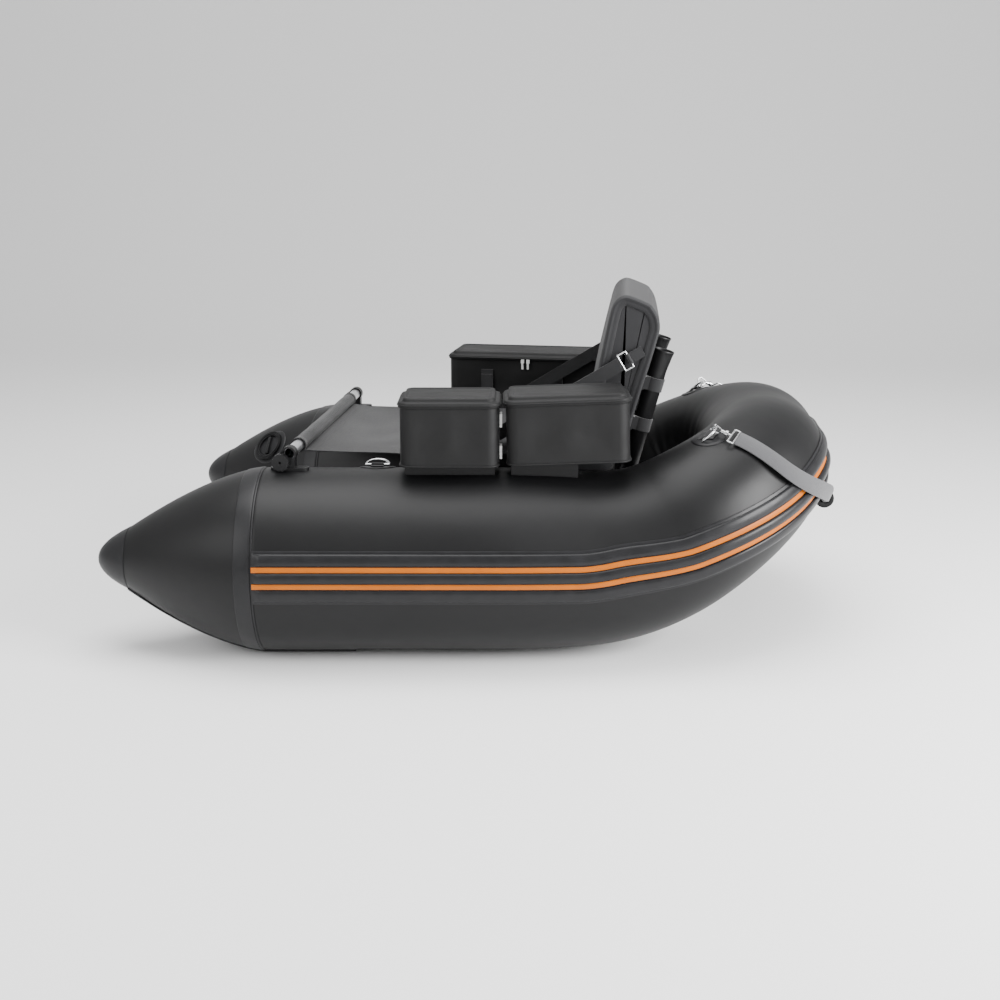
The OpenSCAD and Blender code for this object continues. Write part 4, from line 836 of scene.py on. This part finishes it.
def creased(t, inset, z):
    """Soft hollows in the case's sides, with a crease down the middle of each."""
    part = t % 1
    if part > 0.5 or inset != 0 or not 0.008 < z < 0.124:
        return 0.0
    hollow = 0.0042 * math.sin(math.pi * z / 0.126) * abs(math.sin(4 * math.pi * part))
    return hollow + 0.0012 * math.sin(9 * z / 0.126 + 7 * t) * math.sin(math.pi * z / 0.126) * math.sin(2 * math.pi * part)


for name, aft, length, tilt, flip in (("bow_box", 0.304, 0.208, 0.0, 1), ("mid_box", 0.531, 0.260, 2.0, 1),
                                      ("long_box", 0.334, 0.400, 0.0, -1)):
    rise = 0.260 * math.sin(math.radians(2)) + 0.003 if tilt else 0.0
    case = (Matrix.Translation((0, 0, rise)) @ tube_frame @ Matrix.Translation((-aft - length, 0, 0.222))
            @ Matrix.Rotation(math.radians(tilt), 4, "Y") @ Matrix.Translation((length / 2, 0, 0)))
    body = slab(length / 2, 0.080, 0.024, case_side, case, creased)
    lid = slab(length / 2 + 0.004, 0.084, 0.028, lid_side, case @ Matrix.Translation((0, 0, 0.1263)))
    if flip < 0:
        body, lid = mirrored(body), mirrored(lid)
    piece(body, name + "_case", eva_case, stands_for=[name], crease=50)
    piece(lid, name + "_cover", eva_case, name + "_lid", [name + "_lid"], crease=50)
    clad(pale_plastic, name + "_fore_pull", name + "_aft_pull")
clad(pale_plastic, "box_tie_buckles")
clad(coated_cloth, "box_pads")

# ---- Stern strap and grip ---------------------------------------------------------------------------------
# Steel snap hooks on the stern rings, 38 mm webbing sewn to each and carried down round the
# stern, and a carrying grip of split EVA tube over the strap's middle.
clad(plated, "port_snap_hook", "starboard_snap_hook", "port_hook_gate", "starboard_hook_gate")
grey_web, shader = finish_of("grey_nylon_webbing", "#4a4a4b", 0.78, sheen=0.3)
ribbed(grey_web, shader, "#38383a", "#5e5e60", 0.0016)
eye_end = Vector((-0.568127, 0.328067, 0.48211))
hook_dir = Vector((-0.891199, 0.307394, -0.333575))
grip_mid = Vector((-0.79701, 0, 0.287672))
grip_face = Vector((-math.cos(math.radians(-33)), 0, math.sin(math.radians(-33))))
grip_side = Vector((math.sin(math.radians(-33)), 0, math.cos(math.radians(-33))))


def strap_s(t):
    return 1.078 + (path_end - 0.079 - 1.078) * max(t, 0) ** 2.4


def strap_path(t):
    h = 0.009 + 0.0055 * eased(t / 0.3)
    if t > 0.7:
        h += 0.0155 * eased((t - 0.7) / 0.3)
    k = eased(t / 0.3)
    return (1 - k) * (eye_end + t * 0.26 * hook_dir) + k * on_hull(strap_s(t), 34 - 97 * t, h)


def on_carry(t, a, b):
    """Point a across the strap and b out from its middle; past 1 it runs through the grip."""
    if t > 1:
        fold = (a * 16 / 38, b * 8 / 2.4)
        return grip_mid + Vector((0, 0.061 * (2 - t), 0)) + fold[0] * grip_side + fold[1] * grip_face
    at = strap_path(t)
    along = (strap_path(t + 0.01) - strap_path(t - 0.01)).normalized()
    out = (at - centre_line(strap_s(t))[0]).normalized()
    side = out.cross(along).normalized()
    k = eased((t - 0.8) / 0.2)
    return at + a * (1 - 22 / 38 * k) * side + b * (1 + 2.33 * k) * along.cross(side)


carry_web = [(-0.019, -0.0010), (-0.0186, -0.0012), (0.0186, -0.0012), (0.019, -0.0010), (0.019, 0.0010), (0.0186, 0.0012),
             (-0.0186, 0.0012), (-0.019, 0.0010)]
band = swept(run(0, 1, 60) + run(1.06, 2, 6), carry_web, on_carry)
piece(mirrored(band), "starboard_carry_web", grey_web, stands_for=["carry_strap"])
piece(band, "port_carry_web", grey_web, stands_for=["carry_strap"])
grip_foam, shader = finish_of("closed_cell_grip_foam", "#0d0d0e", 0.7)
place = node(grip_foam, "ShaderNodeTexCoord")
cells = node(grip_foam, "ShaderNodeTexVoronoi", {"Vector": place.outputs["Object"]}, Scale=700)
pores = node(grip_foam, "ShaderNodeBump", {"Height": cells.outputs["Distance"]}, Strength=0.3, Distance=0.0005)
grip_foam.node_tree.links.new(pores.outputs["Normal"], shader.inputs["Normal"])
grip_m = Matrix.Translation(grip_mid) @ Matrix.Rotation(math.radians(90), 4, "X")
foam = turned([(0.0101, -0.064), (0.0110, -0.065), (0.0200, -0.065), (0.0217, -0.0635), (0.0220, -0.061), (0.0220, 0.061),
               (0.0217, 0.0635), (0.0200, 0.065), (0.0110, 0.065), (0.0101, 0.064), (0.0101, -0.064)], grip_m, 48)
piece(foam, "grip_sleeve", grip_foam, stands_for=["carry_grip"])

size = [[list(c) for c in cad_box], [list(c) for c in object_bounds()]]
